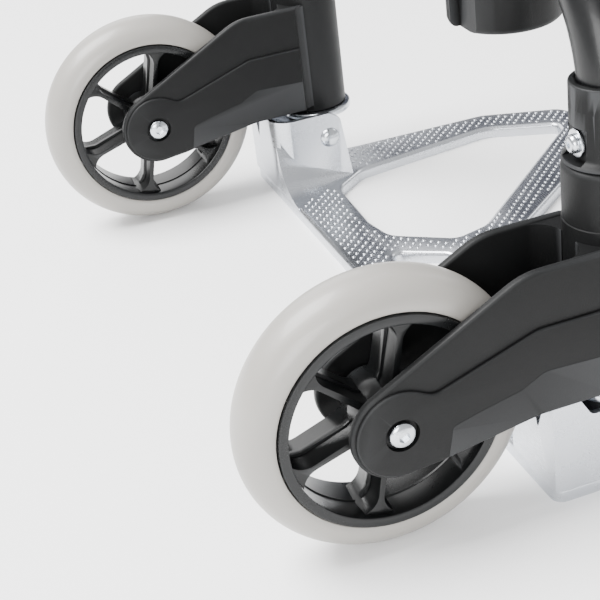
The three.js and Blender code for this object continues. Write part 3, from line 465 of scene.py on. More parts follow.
def select_where(piece: bpy.types.Object, test: Callable[[Vector], bool],
                 kind: str = "VERT") -> None:
    """Selects, in edit mode, the vertices or faces whose place passes a test."""
    bpy.ops.object.mode_set(mode="OBJECT")
    mesh = piece.data
    bpy.ops.object.mode_set(mode="EDIT")
    bpy.ops.mesh.select_mode(type=kind)
    bpy.ops.mesh.select_all(action="DESELECT")
    bpy.ops.object.mode_set(mode="OBJECT")
    if kind == "VERT":
        for vertex in mesh.vertices:
            vertex.select = test(vertex.co)
    else:
        for polygon in mesh.polygons:
            polygon.select = test(polygon.center)
    bpy.ops.object.mode_set(mode="EDIT")


def finished(piece: bpy.types.Object, finish: Finish, body: str,
             nodes: Sequence[str] = (), crisp: float = 32) -> bpy.types.Object:
    """Shades, dresses and hangs a piece on its body, in place of design nodes.

    Args:
        piece: The finished mesh.
        finish: Its surface.
        body: The moving body that it rides on.
        nodes: The design nodes that it stands in for.
        crisp: Edges sharper than this many degrees are left unsmoothed.

    Returns:
        The piece.
    """
    smooth(piece, crisp)
    dress(piece, finish)
    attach(piece, body)
    if nodes:
        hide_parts(*nodes)
    LOG.info("%s: %d faces", piece.name, len(piece.data.polygons))
    return piece


@dataclass
class Span:
    """A design node's box, read from the frame."""

    node: str
    low: Vector = field(init=False)
    high: Vector = field(init=False)

    def __post_init__(self) -> None:
        """Reads the corners."""
        self.low, self.high = (Vector(corner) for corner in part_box(self.node))

    @property
    def centre(self) -> Vector:
        """Middle of the box."""
        return (self.low + self.high) / 2

    @property
    def size(self) -> Vector:
        """Lengths of the box's sides."""
        return self.high - self.low


# ---- Wheels -----------------------------------------------------------------------------


def mirrored_profile(points: Sequence[Flat]) -> list[Flat]:
    """Mirrors half a drawing across its middle, in the order that carries it on."""
    return [(u, -v) for u, v in reversed(points)]


@dataclass
class Wheel:
    """One wheel: tyre, hub with spokes, and the fastening that holds it in its fork."""

    side: Side
    spokes: int = 6
    rim_depth: float = 5.0 * MM
    barrel_radius: float = 13.5 * MM
    spoke_web: float = 2.6 * MM
    spoke_flange: float = 9.0 * MM
    spoke_turn: float = -11.5
    head_radius: float = 6.25 * MM
    head_height: float = 3.6 * MM
    hexagon_radius: float = 2.9 * MM
    shank_radius: float = 3.9 * MM

    def __post_init__(self) -> None:
        """Reads the wheel's place and sizes from the frame."""
        self.tyre_box = Span(self.side.node("tyre"))
        self.hub_box = Span(self.side.node("hub"))
        self.centre = self.tyre_box.centre
        self.radius = self.tyre_box.size.z / 2
        self.rim_radius = self.hub_box.size.z / 2
        self.half_width = self.hub_box.size.y / 2
        self.body = f"{self.side.name.lower()}_wheel"
        self.fork = f"{self.side.name.lower()}_fork"

    def tyre(self) -> None:
        """Turns the tyre: a full round crown with a small lip against the rim."""
        half = self.tyre_box.size.y / 2
        seat = self.rim_radius + GAP * MM
        shoulder = seat + 2 * MM
        crown = [(shoulder + (self.radius - shoulder) * math.sin(a), -half * math.cos(a))
                 for a in (math.pi * i / 30 for i in range(31))]
        lip = [(seat, -half + 1.6 * MM), (seat + 0.4 * MM, -half + 0.6 * MM)]
        profile = [*lip, *crown, *mirrored_profile(lip), lip[0]]
        piece = turned(self.side.node("tyre_tread"), profile, self.centre, Axis.Y, 160, closed=True)
        finished(piece, TYRE_RUBBER, self.body, [self.side.node("tyre")])

    def rim(self) -> bpy.types.Object:
        """Turns the rim: a stepped lip on each face and a shallow channel between them."""
        outer, half, depth = self.rim_radius, self.half_width - 0.5 * MM, self.rim_depth
        inner = outer - depth
        near_half = [(outer, -half + 1 * MM), (outer - 0.3 * MM, -half + 0.2 * MM),
                     (outer - 1.2 * MM, -half), (inner + 0.9 * MM, -half),
                     (inner + 0.2 * MM, -half + 0.4 * MM), (inner, -half + 1.2 * MM),
                     (inner + 0.7 * MM, -0.7 * MM), (inner + 0.1 * MM, -0.2 * MM)]
        profile = [*near_half, *mirrored_profile(near_half), near_half[0]]
        return turned("rim", profile, (0, 0, 0), Axis.Y, 144, closed=True)

    def barrel(self) -> bpy.types.Object:
        """Turns the hollow barrel that holds the bearings."""
        radius, half = self.barrel_radius, self.half_width
        bore = Span(self.side.node("near_bearing")).size.z / 2 + 0.15 * MM
        profile = [(radius + 2 * MM, 0), (radius + 0.6 * MM, 5 * MM), (radius, half - 1 * MM),
                   (radius - 0.8 * MM, half), (bore + 0.4 * MM, half), (bore, half - 0.5 * MM),
                   (bore, half - 8 * MM), (bore - 2.5 * MM, half - 8 * MM)]
        whole = mirrored_profile(profile) + profile[1:]
        whole.append(whole[0])
        return turned("barrel", whole, (0, 0, 0), Axis.Y, 72, closed=True)

    def spoke(self) -> bpy.types.Object:
        """Models one spoke: a waisted web that flares into the rim, with a flat rib along it."""
        start_r, end_r = self.barrel_radius - 1 * MM, self.rim_radius - self.rim_depth + 1.4 * MM
        half, flange = self.half_width - 4.2 * MM, self.spoke_flange / 2
        flare = end_r - 8 * MM
        web = self.spoke_web / 2
        side = arc((flare - 3 * MM, web + 10 * MM), 10 * MM, -90, -35, 6)
        upper = [(start_r, web + 2.2 * MM), (start_r + 5 * MM, web + 0.4 * MM), *side,
                 (end_r, web + 8.6 * MM)]
        outline = upper + mirrored_profile(upper)
        body = outline_piece("web", outline, -half, half, Axis.Y)
        rib = [(start_r, flange * 0.9), (start_r + 6 * MM, flange * 0.62),
               (flare - 2 * MM, flange * 0.62), (end_r, flange * 1.5)]
        rib_outline = rib + mirrored_profile(rib)
        flat = outline_piece("rib", rounded([(x, z, 4 * MM) for x, z in rib_outline][::-1]),
                             -1.5 * MM, 1.5 * MM, Axis.Y)
        whole = combine(body, [flat], "UNION")
        soften(whole, 0.5 * MM, 2, 40)
        return whole

    def hub(self) -> None:
        """Joins rim, barrel and spokes into the hub."""
        first = math.radians(self.spoke_turn) + math.pi / self.spokes
        model = self.spoke()
        spokes = []
        for i in range(self.spokes):
            twin = copy_of(model, "spoke")
            edit(twin)
            bpy.ops.transform.rotate(value=first + math.tau * i / self.spokes, orient_axis="Y",
                                     center_override=(0, 0, 0))
            bpy.ops.object.mode_set(mode="OBJECT")
            spokes.append(twin)
        bpy.data.objects.remove(model, do_unlink=True)
        whole = combine(self.rim(), [self.barrel(), *spokes], "UNION")
        whole = place(whole, self.side.node("spoked_hub"), Axis.Z, self.centre)
        finished(whole, SMOOTH_NYLON, self.body, [self.side.node("hub")])

    def socket_head(self, node: str, facing: int) -> None:
        """Turns a domed head and sinks its hexagonal socket."""
        span = Span(self.side.node(node))
        tip = span.high.y if facing > 0 else -span.low.y
        radius, height, hexagon = self.head_radius, self.head_height, self.hexagon_radius
        dome = [(0, 0), (radius - 0.4 * MM, 0), (radius, 0.3 * MM), (radius, 1.3 * MM),
                *[(radius * math.cos(a), 1.3 * MM + 2.3 * MM * math.sin(a))
                  for a in (math.radians(d) for d in range(10, 61, 10))],
                (2.4 * MM, height - 0.1 * MM), (0, height)]
        head = turned("head", dome, (0, 0, 0), Axis.Z, 64)
        soften(head, 0.15 * MM, 2, 50)
        above = height + 2 * MM
        socket = turned("socket", [(0, 1.4 * MM), (hexagon, 1.5 * MM), (hexagon, above), (0, above)],
                        (0, 0, 0), Axis.Z, 6)
        head = combine(head, [socket])
        if facing < 0:
            edit(head)
            bpy.ops.transform.rotate(value=math.pi, orient_axis="X", center_override=(0, 0, 0))
            bpy.ops.object.mode_set(mode="OBJECT")
        seat = facing * (tip - height)
        shank = turned("shank", [(0, 0), (self.shank_radius, 0), (self.shank_radius, 1), (0, 1)],
                       (0, 0, 0), Axis.Z, 32)
        shank.scale.z = max(span.size.y - height - 0.2 * MM, 2 * MM)
        shank.location.z = 0.3 * MM if facing < 0 else 0.3 * MM - shank.scale.z
        settle(shank)
        whole = combine(head, [shank], "UNION")
        whole = place(whole, self.side.node(f"{node}_domed"), Axis.Y,
                      (self.centre.x, seat, self.centre.z))
        finished(whole, BRIGHT_ZINC, self.fork, [self.side.node(node)])

    def build(self) -> None:
        """Makes every piece of the wheel."""
        self.tyre()
        self.hub()
        self.socket_head("axle_bolt", -1)
        self.socket_head("axle_nut", 1)


# ---- Forks ------------------------------------------------------------------------------


def box(name: str, low: Sequence[float], high: Sequence[float]) -> bpy.types.Object:
    """Makes a block between two opposite corners, from an outline pushed up."""
    outline = [(low[0], low[1]), (high[0], low[1]), (high[0], high[1]), (low[0], high[1])]
    return outline_piece(name, outline, low[2], high[2])


def moved(piece: bpy.types.Object, by: Sequence[float]) -> bpy.types.Object:
    """Shifts a piece's mesh."""
    edit(piece)
    bpy.ops.transform.translate(value=by)
    bpy.ops.object.mode_set(mode="OBJECT")
    return piece


def on_both_sides(piece: bpy.types.Object, finish: Finish, node: str,
                  body: str = "chassis", own_body: bool = False) -> None:
    """Finishes a left-hand piece and its mirrored twin.

    Args:
        piece: The left-hand piece, whose name starts with left.
        finish: Its surface.
        node: The design node that it stands in for, without its side.
        body: The body that both ride on.
        own_body: True where each side has a body of its own, and `body` is its name without
            the side.
    """
    twin = mirror_of(piece, piece.name.replace("left", "right", 1))
    for side, each in ((Side.LEFT, piece), (Side.RIGHT, twin)):
        rides_on = side.node(body) if own_body else body
        finished(each, finish, rides_on, [side.node(node)])


@dataclass
class Fork:
    """The swivelling forks: two arms with raised panels, a floor and a sleeve round the post."""

    arm_inner: float = 19.3
    arm_face: float = 24.2
    panel_face: float = 26.0
    step_face: float = 26.15
    boss: float = 21.5
    sleeve_radius: float = 21.5
    sleeve_bore: float = 15.3
    pocket_round: float = 13.0
    stop_low: float = 8.5
    hub_face: float = 17.0
    recess_radius: float = 7.8
    recess_depth: float = 2.4

    def __post_init__(self) -> None:
        """Reads the post, the axle and the heights from the frame, in millimetres."""
        wheel = Span("left_tyre").centre
        self.post = Span("left_thrust_washer").centre.y
        self.trail = -wheel.x / MM
        self.axle = wheel.z / MM
        self.top = Span("left_fork").high.z / MM
        self.bottom = Span("left_thrust_washer").high.z / MM + GAP

    def side_view(self, corners: Sequence[Sequence[float]], step: float = 7) -> list[Flat]:
        """Places a side view, given from the axle in millimetres, and rounds its corners."""
        placed = [(x - self.trail, z + self.axle, r) for x, z, r in corners]
        return rounded(millimetres(placed), step)

    def boss_arc(self, radius: float, end: float) -> list[Point]:
        """Corners round the back of the boss, from below to above."""
        return [(x, z, 0) for x, z in arc((0, 0), radius, -78, end, 22)]

    def arm(self, sign: int) -> bpy.types.Object:
        """Models one arm: a thick web, a raised panel, a faint step and the boss's recess."""
        web = self.side_view([(110, -12, 0), (67, -12, 30), (17, -21.5, 14),
                              *self.boss_arc(self.boss + 1.8, -246), (63, 60, 34), (110, 60, 0)])
        panel = self.side_view([(104, -12, 0), (67, -12, 30), (17, -20, 14),
                                *self.boss_arc(self.boss, -292), (17, 15.5, 9), (68, 32.5, 18),
                                (104, 32.5, 0)])
        step = self.side_view([(21, -18.6, 0), (24, -3.5, 3), (37, 0, 9), (58, 4.5, 9),
                               (70, 10.6, 9), (104, 9, 0), (104, -11.4, 0), (67, -11.4, 30)])

        def slab(name: str, outline: list[Flat], low: float, high: float) -> bpy.types.Object:
            """Pushes an outline out between two distances from the wheel's plane."""
            near, far = sorted((sign * low * MM, sign * high * MM))
            return outline_piece(name, outline, near, far, Axis.Y)

        whole = slab("web", web, self.arm_inner, self.arm_face)
        soften(whole, 1.7 * MM, 4, 30)
        raised = slab("panel", panel, self.arm_inner + 2, self.panel_face)
        soften(raised, 1.1 * MM, 3, 30)
        faint = slab("step", step, self.arm_inner + 3, self.step_face)
        soften(faint, 0.12 * MM, 1, 30)
        centre = (-self.trail * MM, 0, self.axle * MM)
        shoulder = rod("shoulder", 8, *sorted((sign * self.hub_face, sign * (self.arm_inner + 1))),
                       centre, Axis.Y, 48)
        whole = combine(whole, [raised, faint, shoulder], "UNION")
        near, far = sorted([(sign * (self.panel_face - self.recess_depth), self.recess_radius),
                            (sign * (self.panel_face + 2), self.recess_radius + 0.6)])
        recess = turned("recess", millimetres([(0, near[0]), near[::-1], far[::-1], (0, far[0])]),
                        centre, Axis.Y, 64)
        valley = rod("valley", 7.4, 30, 140, spot(-8.5, sign * 28.8, 0), Axis.Z, 48)
        end = box("end", spot(-8, -40, 30), spot(30, 40, 140))
        return combine(whole, [recess, valley, end])

    def pocket_end(self, sign: int) -> bpy.types.Object:
        """Fills the corner where an arm's inner face runs into the sleeve."""
        edge, radius = self.arm_inner + 0.3, self.pocket_round
        curve = arc((-34, edge - radius), radius, 90, 0, 10)
        plan = [(-8, edge + 2), (-36, edge + 2), (-36, edge), *curve, (-8, edge - radius)]
        low, high = spot(self.axle - 11.5, self.axle + 59)
        return outline_piece("corner", millimetres([(x, sign * y) for x, y in plan]), low, high)

    def sleeve(self) -> bpy.types.Object:
        """Turns the sleeve, a touch slimmer above the arms."""
        r, low, high = self.sleeve_radius, self.bottom, self.top
        profile = [(0, low), (r - 1.2, low), (r - 0.3, low + 0.4), (r, low + 1.3), (r, 135),
                   (r - 0.35, 135.5), (r - 0.35, high - 3.4), (r - 0.7, high - 1.9),
                   (r - 1.6, high - 0.7), (r - 2.8, high - 0.1), (r - 3.6, high), (0, high)]
        return turned("sleeve", millimetres(profile), (0, 0, 0), Axis.Z, 112)

    def build(self) -> None:
        """Joins the arms, pocket, floor and sleeve, and makes both forks."""
        floor = box("floor", spot(-43, -21, 58), spot(-12, 21, 62))
        soften(floor, 0.8 * MM, 2)
        parts = [self.arm(-1), self.pocket_end(1), self.pocket_end(-1), floor, self.sleeve()]
        whole = combine(self.arm(1), parts, "UNION")
        bore = rod("bore", self.sleeve_bore, self.bottom - 2, self.top + 2, (0, 0, 0), Axis.Z, 96)
        sector = [(0, 0), *arc((0, 0), 32 * MM, -31, 101, 16)]
        notch = outline_piece("notch", sector, (self.top - self.stop_low) * MM,
                              (self.top + 1) * MM)
        whole = combine(whole, [bore, notch])
        whole = place(whole, "left_fork_moulding", Axis.Z, (0, self.post, 0))
        on_both_sides(whole, SAND_NYLON, "fork", "fork", own_body=True)


# ---- Toe plate --------------------------------------------------------------------------


def side_distance(point: Flat, outline: Sequence[Flat]) -> float:
    """Distance from a point to the nearest side of a closed outline, negative outside it."""
    x, y = point
    nearest, inside = math.inf, False
    for (ax, ay), (bx, by) in zip(outline, [*outline[1:], outline[0]]):
        dx, dy = bx - ax, by - ay
        along = max(0.0, min(1.0, ((x - ax) * dx + (y - ay) * dy) / (dx * dx + dy * dy or 1)))
        nearest = min(nearest, math.hypot(x - ax - along * dx, y - ay - along * dy))
        if (ay > y) != (by > y) and x < ax + (y - ay) * dx / dy:
            inside = not inside
    return nearest if inside else -nearest


@dataclass
class ToePlate:
    """The pressed toe plate: turned-down rims, four openings, two ears and rows of grip nubs."""

    sheet: float = 2.5
    bend: float = 2.8
    nub_radius: float = 1.35
    nub_height: float = 0.75
    nub_cell: float = 7.1
    margin: float = 4.2
    top: float = 8.0
    ear_root: float = 6.6
    ear_wall: float = 3.0
    ear_bend: float = 14.0

    def __post_init__(self) -> None:
        """Reads the plate's edges from the frame, in millimetres."""
        whole = Span("toe_plate")
        self.rear, self.front = whole.low.x / MM, whole.high.x / MM
        self.half = whole.high.y / MM
        self.ear_top = whole.high.z / MM
        pivot = Span("left_pivot_rivet")
        self.pivot = (pivot.centre.x / MM, pivot.centre.z / MM)
        self.ear_inner = self.half - 55

    def both(self, corners: Sequence[Point]) -> list[Point]:
        """Adds the mirror image of half an outline."""
        return [*corners, *[(x, -y, r) for x, y, r in reversed(corners)]]

    def outline(self) -> list[Flat]:
        """The plate's outer edge."""
        front, half = self.front, self.half
        return rounded(millimetres(self.both([
            (self.rear, half, 6), (8, half, 8), (24, half - 11, 12), (front - 60, half - 14, 20),
            (front - 7, half - 36, 12), (front, half - 50, 12)])))

    def openings(self) -> list[list[Flat]]:
        """Two side openings, a slot at the rear and a wedge at the front."""
        front, half = self.front, self.half
        side = [(-6, half - 71, 14), (18, half - 52, 14), (front - 68, half - 38, 25),
                (front - 22, half - 60, 6), (front - 24, half - 70, 6), (53, 46, 18), (30, 40, 10),
                (-4, 66, 16), (-8.3, 90, 10)]
        other = [(x, -y, r) for x, y, r in reversed(side)]
        slot = self.both([(-14.5, 45, 5), (17.7, 23, 8)])
        wedge = self.both([(52, 14, 8), (front - 20, half - 110, 12)])
        return [rounded(millimetres(corners)) for corners in (side, other, slot, wedge)]

    def pressing(self) -> bpy.types.Object:
        """Presses the plate: openings cut, rims turned down round a bend, then given its wall."""
        plate = outline_piece("toe_plate_pressing", self.outline(), 0, self.top * MM)
        tools = [outline_piece("opening", points, -0.01, 0.02) for points in self.openings()]
        plate = combine(plate, tools)
        edit(plate, everything=False)
        select_where(plate, lambda at: at.z < 0.0005, "FACE")
        bpy.ops.mesh.delete(type="FACE")
        bpy.ops.object.mode_set(mode="OBJECT")
        soften(plate, self.bend * MM, 4, 50)
        wall = plate.modifiers.new("sheet", "SOLIDIFY")
        wall.thickness = self.sheet * MM
        wall.offset = -1
        wall.use_even_offset = True
        apply_all(plate)
        return plate

    def ear(self) -> bpy.types.Object:
        """Folds the left ear: an inner wall bent round to the rear wall, and an outer wall."""
        inner, half, top, rear = self.ear_inner, self.half, self.ear_top, self.rear
        root, wall, bend = self.ear_root, self.ear_wall, self.ear_bend
        outside = arc((rear + bend, inner + bend), bend, 270, 180, 8)
        inside = arc((rear + bend, inner + bend), bend - wall, 180, 270, 8)
        plan = [(11, inner), *outside, (rear, half), (rear + wall, half), *inside,
                (11, inner + wall)]
        walls = outline_piece("ear_walls", millimetres(plan), root * MM, top * MM)
        side = rounded(millimetres([(rear - 2, root - 1, 0), (11, root - 1, 0), (10.5, root, 0),
                                    (5, top - 5, 3), (-2, top, 5), (rear - 2, top, 0)]), 15)
        walls = combine(walls, [outline_piece("profile", side, 0.1, 0.3, Axis.Y)], "INTERSECT")
        notch = [(half - 7, top + 1), (half - 15.5, top - 20), (half - 16.5, top - 19.4),
                 (half - 24, top + 1)]
        corner = rounded(millimetres([
            (half + 1, top + 1, 0), (half - 9, top + 1, 0), (half - 8, top, 0),
            (half, top - 8, 0), (half + 1, top - 9, 0)]))
        cuts = [outline_piece("notch", millimetres(notch), (rear - 3) * MM, (rear + 6) * MM, Axis.X),
                outline_piece("corner", corner, (rear - 3) * MM, (rear + 6) * MM, Axis.X)]
        walls = combine(walls, cuts)
        pivot_z = self.pivot[1]
        outer = rounded(millimetres([
            (rear, root, 0), (5, root, 0), (4.8, pivot_z - 0.6, 4), (-7, pivot_z + 6.4, 4),
            (-22, pivot_z + 6.4, 4), (-28, top - 1, 3), (rear, top - 1, 0)]), 15)
        outer_wall = outline_piece("outer_wall", outer, (half - wall) * MM, half * MM, Axis.Y)
        whole = combine(walls, [outer_wall], "UNION")
        soften(whole, 0.7 * MM, 2, 40)
        return combine(whole, [self.sweep()], "UNION")

    def sweep(self) -> bpy.types.Object:
        """Shapes the hollow curve that runs from the ear's inner wall down into the plate."""
        inner, root, top = self.ear_inner, self.ear_root, self.top
        curve = [(inner + 2.5, 40), (inner + 0.2, 34), (inner - 1.2, 28), (inner - 4, 22.5),
                 (inner - 8, 17.6), (inner - 13, 13.6), (inner - 19, 10.4), (inner - 26, 8.5),
                 (inner - 32, top - 0.1)]
        profile = [(inner + 3, root), (inner + 3, 40), *curve, (inner - 32, root)]
        piece = outline_piece("sweep", millimetres(profile), (self.rear + 0.02) * MM, 9 * MM,
                              Axis.X)
        edit(piece, everything=False)
        select_where(piece, lambda at: at.x > 0)
        bpy.ops.transform.resize(value=(1, 0.1, 0.12),
                                 center_override=(9 * MM, (inner + 1) * MM, (top - 0.4) * MM))
        bpy.ops.object.mode_set(mode="OBJECT")
        tidy(piece)
        return piece

    def nubs(self) -> bpy.types.Object:
        """Raises one nub, repeats it in staggered rows and clears the openings and edges."""
        radius, height, cell = self.nub_radius * MM, self.nub_height * MM, self.nub_cell * MM
        dome = [(radius, -0.2 * MM), (radius * 0.9, height * 0.35), (radius * 0.6, height * 0.75),
                (radius * 0.25, height * 0.95), (0, height)]
        nub = turned("toe_plate_nubs", dome, (0, 0, 0), Axis.Z, 8)
        rows = math.ceil(2 * self.half / self.nub_cell)
        columns = math.ceil((self.front - self.rear) / self.nub_cell)
        for name, count, step in (("columns", columns, (cell, 0, 0)),
                                  ("stagger", 2, (cell / 2, cell / 2, 0)),
                                  ("rows", rows, (0, cell, 0))):
            repeat = nub.modifiers.new(name, "ARRAY")
            repeat.use_relative_offset, repeat.use_constant_offset = False, True
            repeat.constant_offset_displace = step
            repeat.count = count
        apply_all(nub)
        first_x, first_y, _ = origin = spot(self.rear - 1, -self.half, self.top)
        moved(nub, origin)
        edge, holes, margin = self.outline(), self.openings(), self.margin * MM
        kept: dict[tuple[int, int], bool] = {}

        def outside(at: Vector) -> bool:
            """Tells whether a corner's nub stands too near an edge, or off the plate."""
            across = round((at.y - first_y) / (cell / 2))
            shift = cell / 2 if across % 2 else 0
            along = round((at.x - first_x - shift) / cell)
            key = (along, across)
            if key not in kept:
                centre = (first_x + shift + along * cell, first_y + across * cell / 2)
                near_ear = abs(centre[1]) > (self.ear_inner - 26) * MM and centre[0] < 14 * MM
                limit = (self.ear_inner - 28 + max(0, centre[0] / MM + 42) * 0.5) * MM
                kept[key] = (side_distance(centre, edge) > margin
                             and all(side_distance(centre, hole) < -margin for hole in holes)
                             and not (near_ear and abs(centre[1]) > limit))
            return not kept[key]

        edit(nub, everything=False)
        select_where(nub, outside)
        bpy.ops.mesh.delete(type="VERT")
        bpy.ops.object.mode_set(mode="OBJECT")
        return nub

    def rivet(self) -> None:
        """Turns the pivot rivets: a shank through each ear, with a domed head at each end."""
        span, (x, z) = Span("left_pivot_rivet"), self.pivot
        low, high = span.low.y / MM, span.high.y / MM
        profile = [(0, low), (2.2, low + 0.15), (4.2, low + 0.8), (5.6, low + 1.6),
                   (6.5, low + 2.6), (6.8, low + 3.2), (4, low + 3.2), (4, high - 2.9),
                   (6.4, high - 2.9), (6.1, high - 2.1), (5, high - 1.1), (3.2, high - 0.3),
                   (0, high)]
        piece = turned("left_rivet", millimetres(profile), spot(x, 0, z), Axis.Y, 64)
        on_both_sides(piece, BRIGHT_ZINC, "pivot_rivet", "toe_plate")

    def build(self) -> None:
        """Makes the pressing with both ears, the nubs and the rivets."""
        ear = self.ear()
        ear.name = ear.data.name = "left_ear"
        finished(self.pressing(), PRESSED_SHEET, "toe_plate", ["toe_plate"])
        for piece, crisp in ((ear, 32), (mirror_of(ear, "right_ear"), 32), (self.nubs(), 80)):
            finished(piece, PRESSED_SHEET, "toe_plate", crisp=crisp)
        self.rivet()


# ---- Lower frame ------------------------------------------------------------------------

OUTER_TUBE_BORE = 16.3  # of the mouldings that hold the outer tubes
INNER_TUBE_BORE = 13.3  # of the mouldings that the inner tubes pass or enter


def tube_along(name: str, radius: float, start_at: Sequence[float], axis: Axis,
               runs: Sequence[tuple[float, Point | None]], sides: int = 56) -> bpy.types.Object:
    """Draws a round bar by extruding a circle and spinning it round quarter bends.

    Args:
        name: The piece's name.
        radius: Of the bar, in metres.
        start_at: Centre of the first end.
        axis: Direction in which the bar starts.
        runs: For each stretch, its length and None, or for a quarter bend in the plane across X,
            the sign of its turn and the centre that it turns about.
        sides: Flats round the bar.

    Returns:
        The closed bar.
    """
    start()
    bpy.ops.mesh.primitive_circle_add(vertices=sides, radius=radius, location=(0, 0, 0))
    piece = place(bpy.context.object, name, axis, start_at)
    heading = Vector({Axis.X: (1, 0, 0), Axis.Y: (0, 1, 0), Axis.Z: (0, 0, 1)}[axis])
    edit(piece)
    bpy.ops.mesh.edge_face_add()
    for amount, centre in runs:
        if centre is None:
            bpy.ops.mesh.extrude_region_move(TRANSFORM_OT_translate={"value": heading * amount})
        else:
            turn = math.copysign(math.pi / 2, amount)
            bpy.ops.mesh.spin(steps=20, angle=-turn, center=centre, axis=(1, 0, 0))
            heading = Matrix.Rotation(turn, 3, "X") @ heading
    bpy.ops.object.mode_set(mode="OBJECT")
    tidy(piece)
    return piece


@dataclass
class LowerFrame:
    """Arched tubes, their feet, washers and collars, the sockets and the cross tube."""

    tube: float = 13.0
    wall: float = 2.0
    arch_bend: float = 70.0
    collar_radius: float = 17.0
    socket_radius: float = 28.0
    flat: float = 8.0
    skirt: float = 20.8
    foot_round: float = 11.0
    foot_front: float = 8.0
    tongue_depth: float = 7.8
    rim_height: float = 10.0

    def __post_init__(self) -> None:
        """Reads heights and places from the frame, in millimetres."""
        arch, socket = Span("left_arch_tube"), Span("left_tube_socket")
        self.post = Span("left_thrust_washer").centre.y / MM
        self.upright = Span("left_outer_tube").centre.y / MM
        self.foot = arch.low.z / MM
        self.arch_height = arch.high.z / MM - self.tube
        self.arch_end = arch.low.y / MM
        self.socket_low, self.socket_high = socket.low.z / MM, socket.high.z / MM
        self.socket_front = socket.high.x / MM
        self.collar_low, self.collar_high = (value.z / MM for value in (
            Span("left_collar").low, Span("left_collar").high))
        self.screw = Span("left_collar_screw")

    def arch(self, extra: float, radius: float) -> bpy.types.Object:
        """Bends one arched bar, longer by `extra` at its ends."""
        bend, height = self.arch_bend, self.arch_height
        return tube_along("arch", radius * MM, spot(0, self.post, self.foot - extra), Axis.Z, [
            ((height - bend - self.foot + extra) * MM, None),
            (1, spot(0, self.post - bend, height - bend)),
            ((self.post - bend - self.arch_end + extra) * MM, None)])

    def arches(self) -> None:
        """Makes the two hollow arched tubes."""
        hollow = combine(self.arch(0, self.tube), [self.arch(2, self.tube - self.wall)])
        soften(hollow, 0.3 * MM, 2, 50)
        on_both_sides(named(hollow, "left_arched_tube"), POWDER_COAT, "arch_tube")
        cross = Span("lower_cross_tube")
        half = cross.high.y
        tube = tube_along("cross_tube", self.tube * MM, (0, -half, cross.centre.z), Axis.Y,
                          [(2 * half, None)])
        soften(tube, 0.4 * MM, 2, 50)
        finished(tube, POWDER_COAT, "chassis", ["lower_cross_tube"])

    def washer(self) -> None:
        """Turns the thrust washer under each fork."""
        span = Span("left_thrust_washer")
        low, high = span.low.z / MM, span.high.z / MM
        outer, bore = span.size.y / 2 / MM, self.tube + GAP
        profile = [(bore, low + 0.4), (bore + 0.4, low), (outer - 1.2, low),
                   (outer - 0.2, low + 0.5), (outer, low + 1.4), (outer, high - 1.6),
                   (outer - 0.5, high - 0.7), (outer - 1.8, high - 0.1), (outer - 3, high),
                   (bore, high), (bore, low + 0.4)]
        piece = turned("left_washer", millimetres(profile), spot(0, self.post, 0), Axis.Z, 96,
                       closed=True)
        on_both_sides(piece, BRIGHT_ZINC, "thrust_washer")

    def foot_block(self) -> None:
        """Models the foot in each post: a rounded cheek for the rivet, below a spigot."""
        block, rivet, radius = Span("left_foot_block"), Span("left_pivot_rivet"), self.foot_round
        low, high = block.low.y, block.high.y
        x, z, top = rivet.centre.x / MM, rivet.centre.z / MM, self.foot - GAP
        front = x + self.foot_front
        side = [(x - radius, top), *arc((x, z), radius, 180, 360, 18), (front, z + 2),
                (front, top)]
        cheek = outline_piece("cheek", millimetres(side), low, high, Axis.Y)
        soften(cheek, 0.8 * MM, 2)
        bore = rod("bore", 4.3, low / MM - 1, high / MM + 1, spot(x, 0, z), Axis.Y)
        inside, end = self.tube - self.wall - GAP, block.high.z / MM
        profile = [(0, top - 0.5), (inside, top - 0.5), (inside, end - 1), (inside - 1, end),
                   (0, end)]
        spigot = turned("spigot", millimetres(profile), spot(0, self.post, 0), Axis.Z, 48)
        piece = combine(combine(cheek, [spigot], "UNION"), [bore])
        on_both_sides(named(piece, "left_foot"), SAND_NYLON, "foot_block")

    def collar(self) -> None:
        """Models the collar: skirt, body, half rim, flat for the screw and stop tongue."""
        skirt, radius, bore = self.skirt, self.collar_radius, self.tube + GAP
        base, top = self.collar_low + self.tongue_depth, self.collar_high - self.rim_height
        profile = [(0, base), (skirt - 0.4, base), (skirt, base + 0.5), (skirt - 0.6, base + 1.6),
                   (radius + 1.4, base + 3), (radius + 0.4, base + 4.2), (radius, base + 6),
                   (radius, top - 1.2), (radius - 0.4, top - 0.4), (radius - 1.3, top), (0, top)]
        whole = turned("body", millimetres(profile), spot(0, self.post, 0), Axis.Z, 96)
        screw_z = self.screw.centre.z / MM
        face = Span("left_collar_washer").high.x / MM + GAP
        flat = box("flat", spot(-30, self.post - self.flat, screw_z - self.flat),
                   spot(face, self.post + self.flat, screw_z + self.flat))
        rim = self.sector("rim", bore - 2, radius, top - 3, self.collar_high, 120, 300)
        soften(rim, 0.9 * MM, 3)
        tongue = self.sector("tongue", 15.9, skirt, self.collar_low, base + 1, 62, 98)
        soften(tongue, 0.4 * MM, 2)
        whole = combine(whole, [rim, tongue], "UNION")
        whole = combine(whole, [self.arch(1, bore), flat])
        hole = rod("hole", 2.7, -40, 0, spot(0, self.post, screw_z), Axis.X)
        whole = named(combine(whole, [hole]), "left_post_collar")
        on_both_sides(whole, SAND_NYLON, "collar")

    def sector(self, name: str, inner: float, outer: float, low: float, high: float,
               first: float, last: float) -> bpy.types.Object:
        """Pushes up part of a ring about the left post."""
        post = (0, self.post)
        ends = [*arc(post, outer, first, last, 18), *arc(post, inner, last, first, 18)]
        return outline_piece(name, millimetres(ends), low * MM, high * MM)

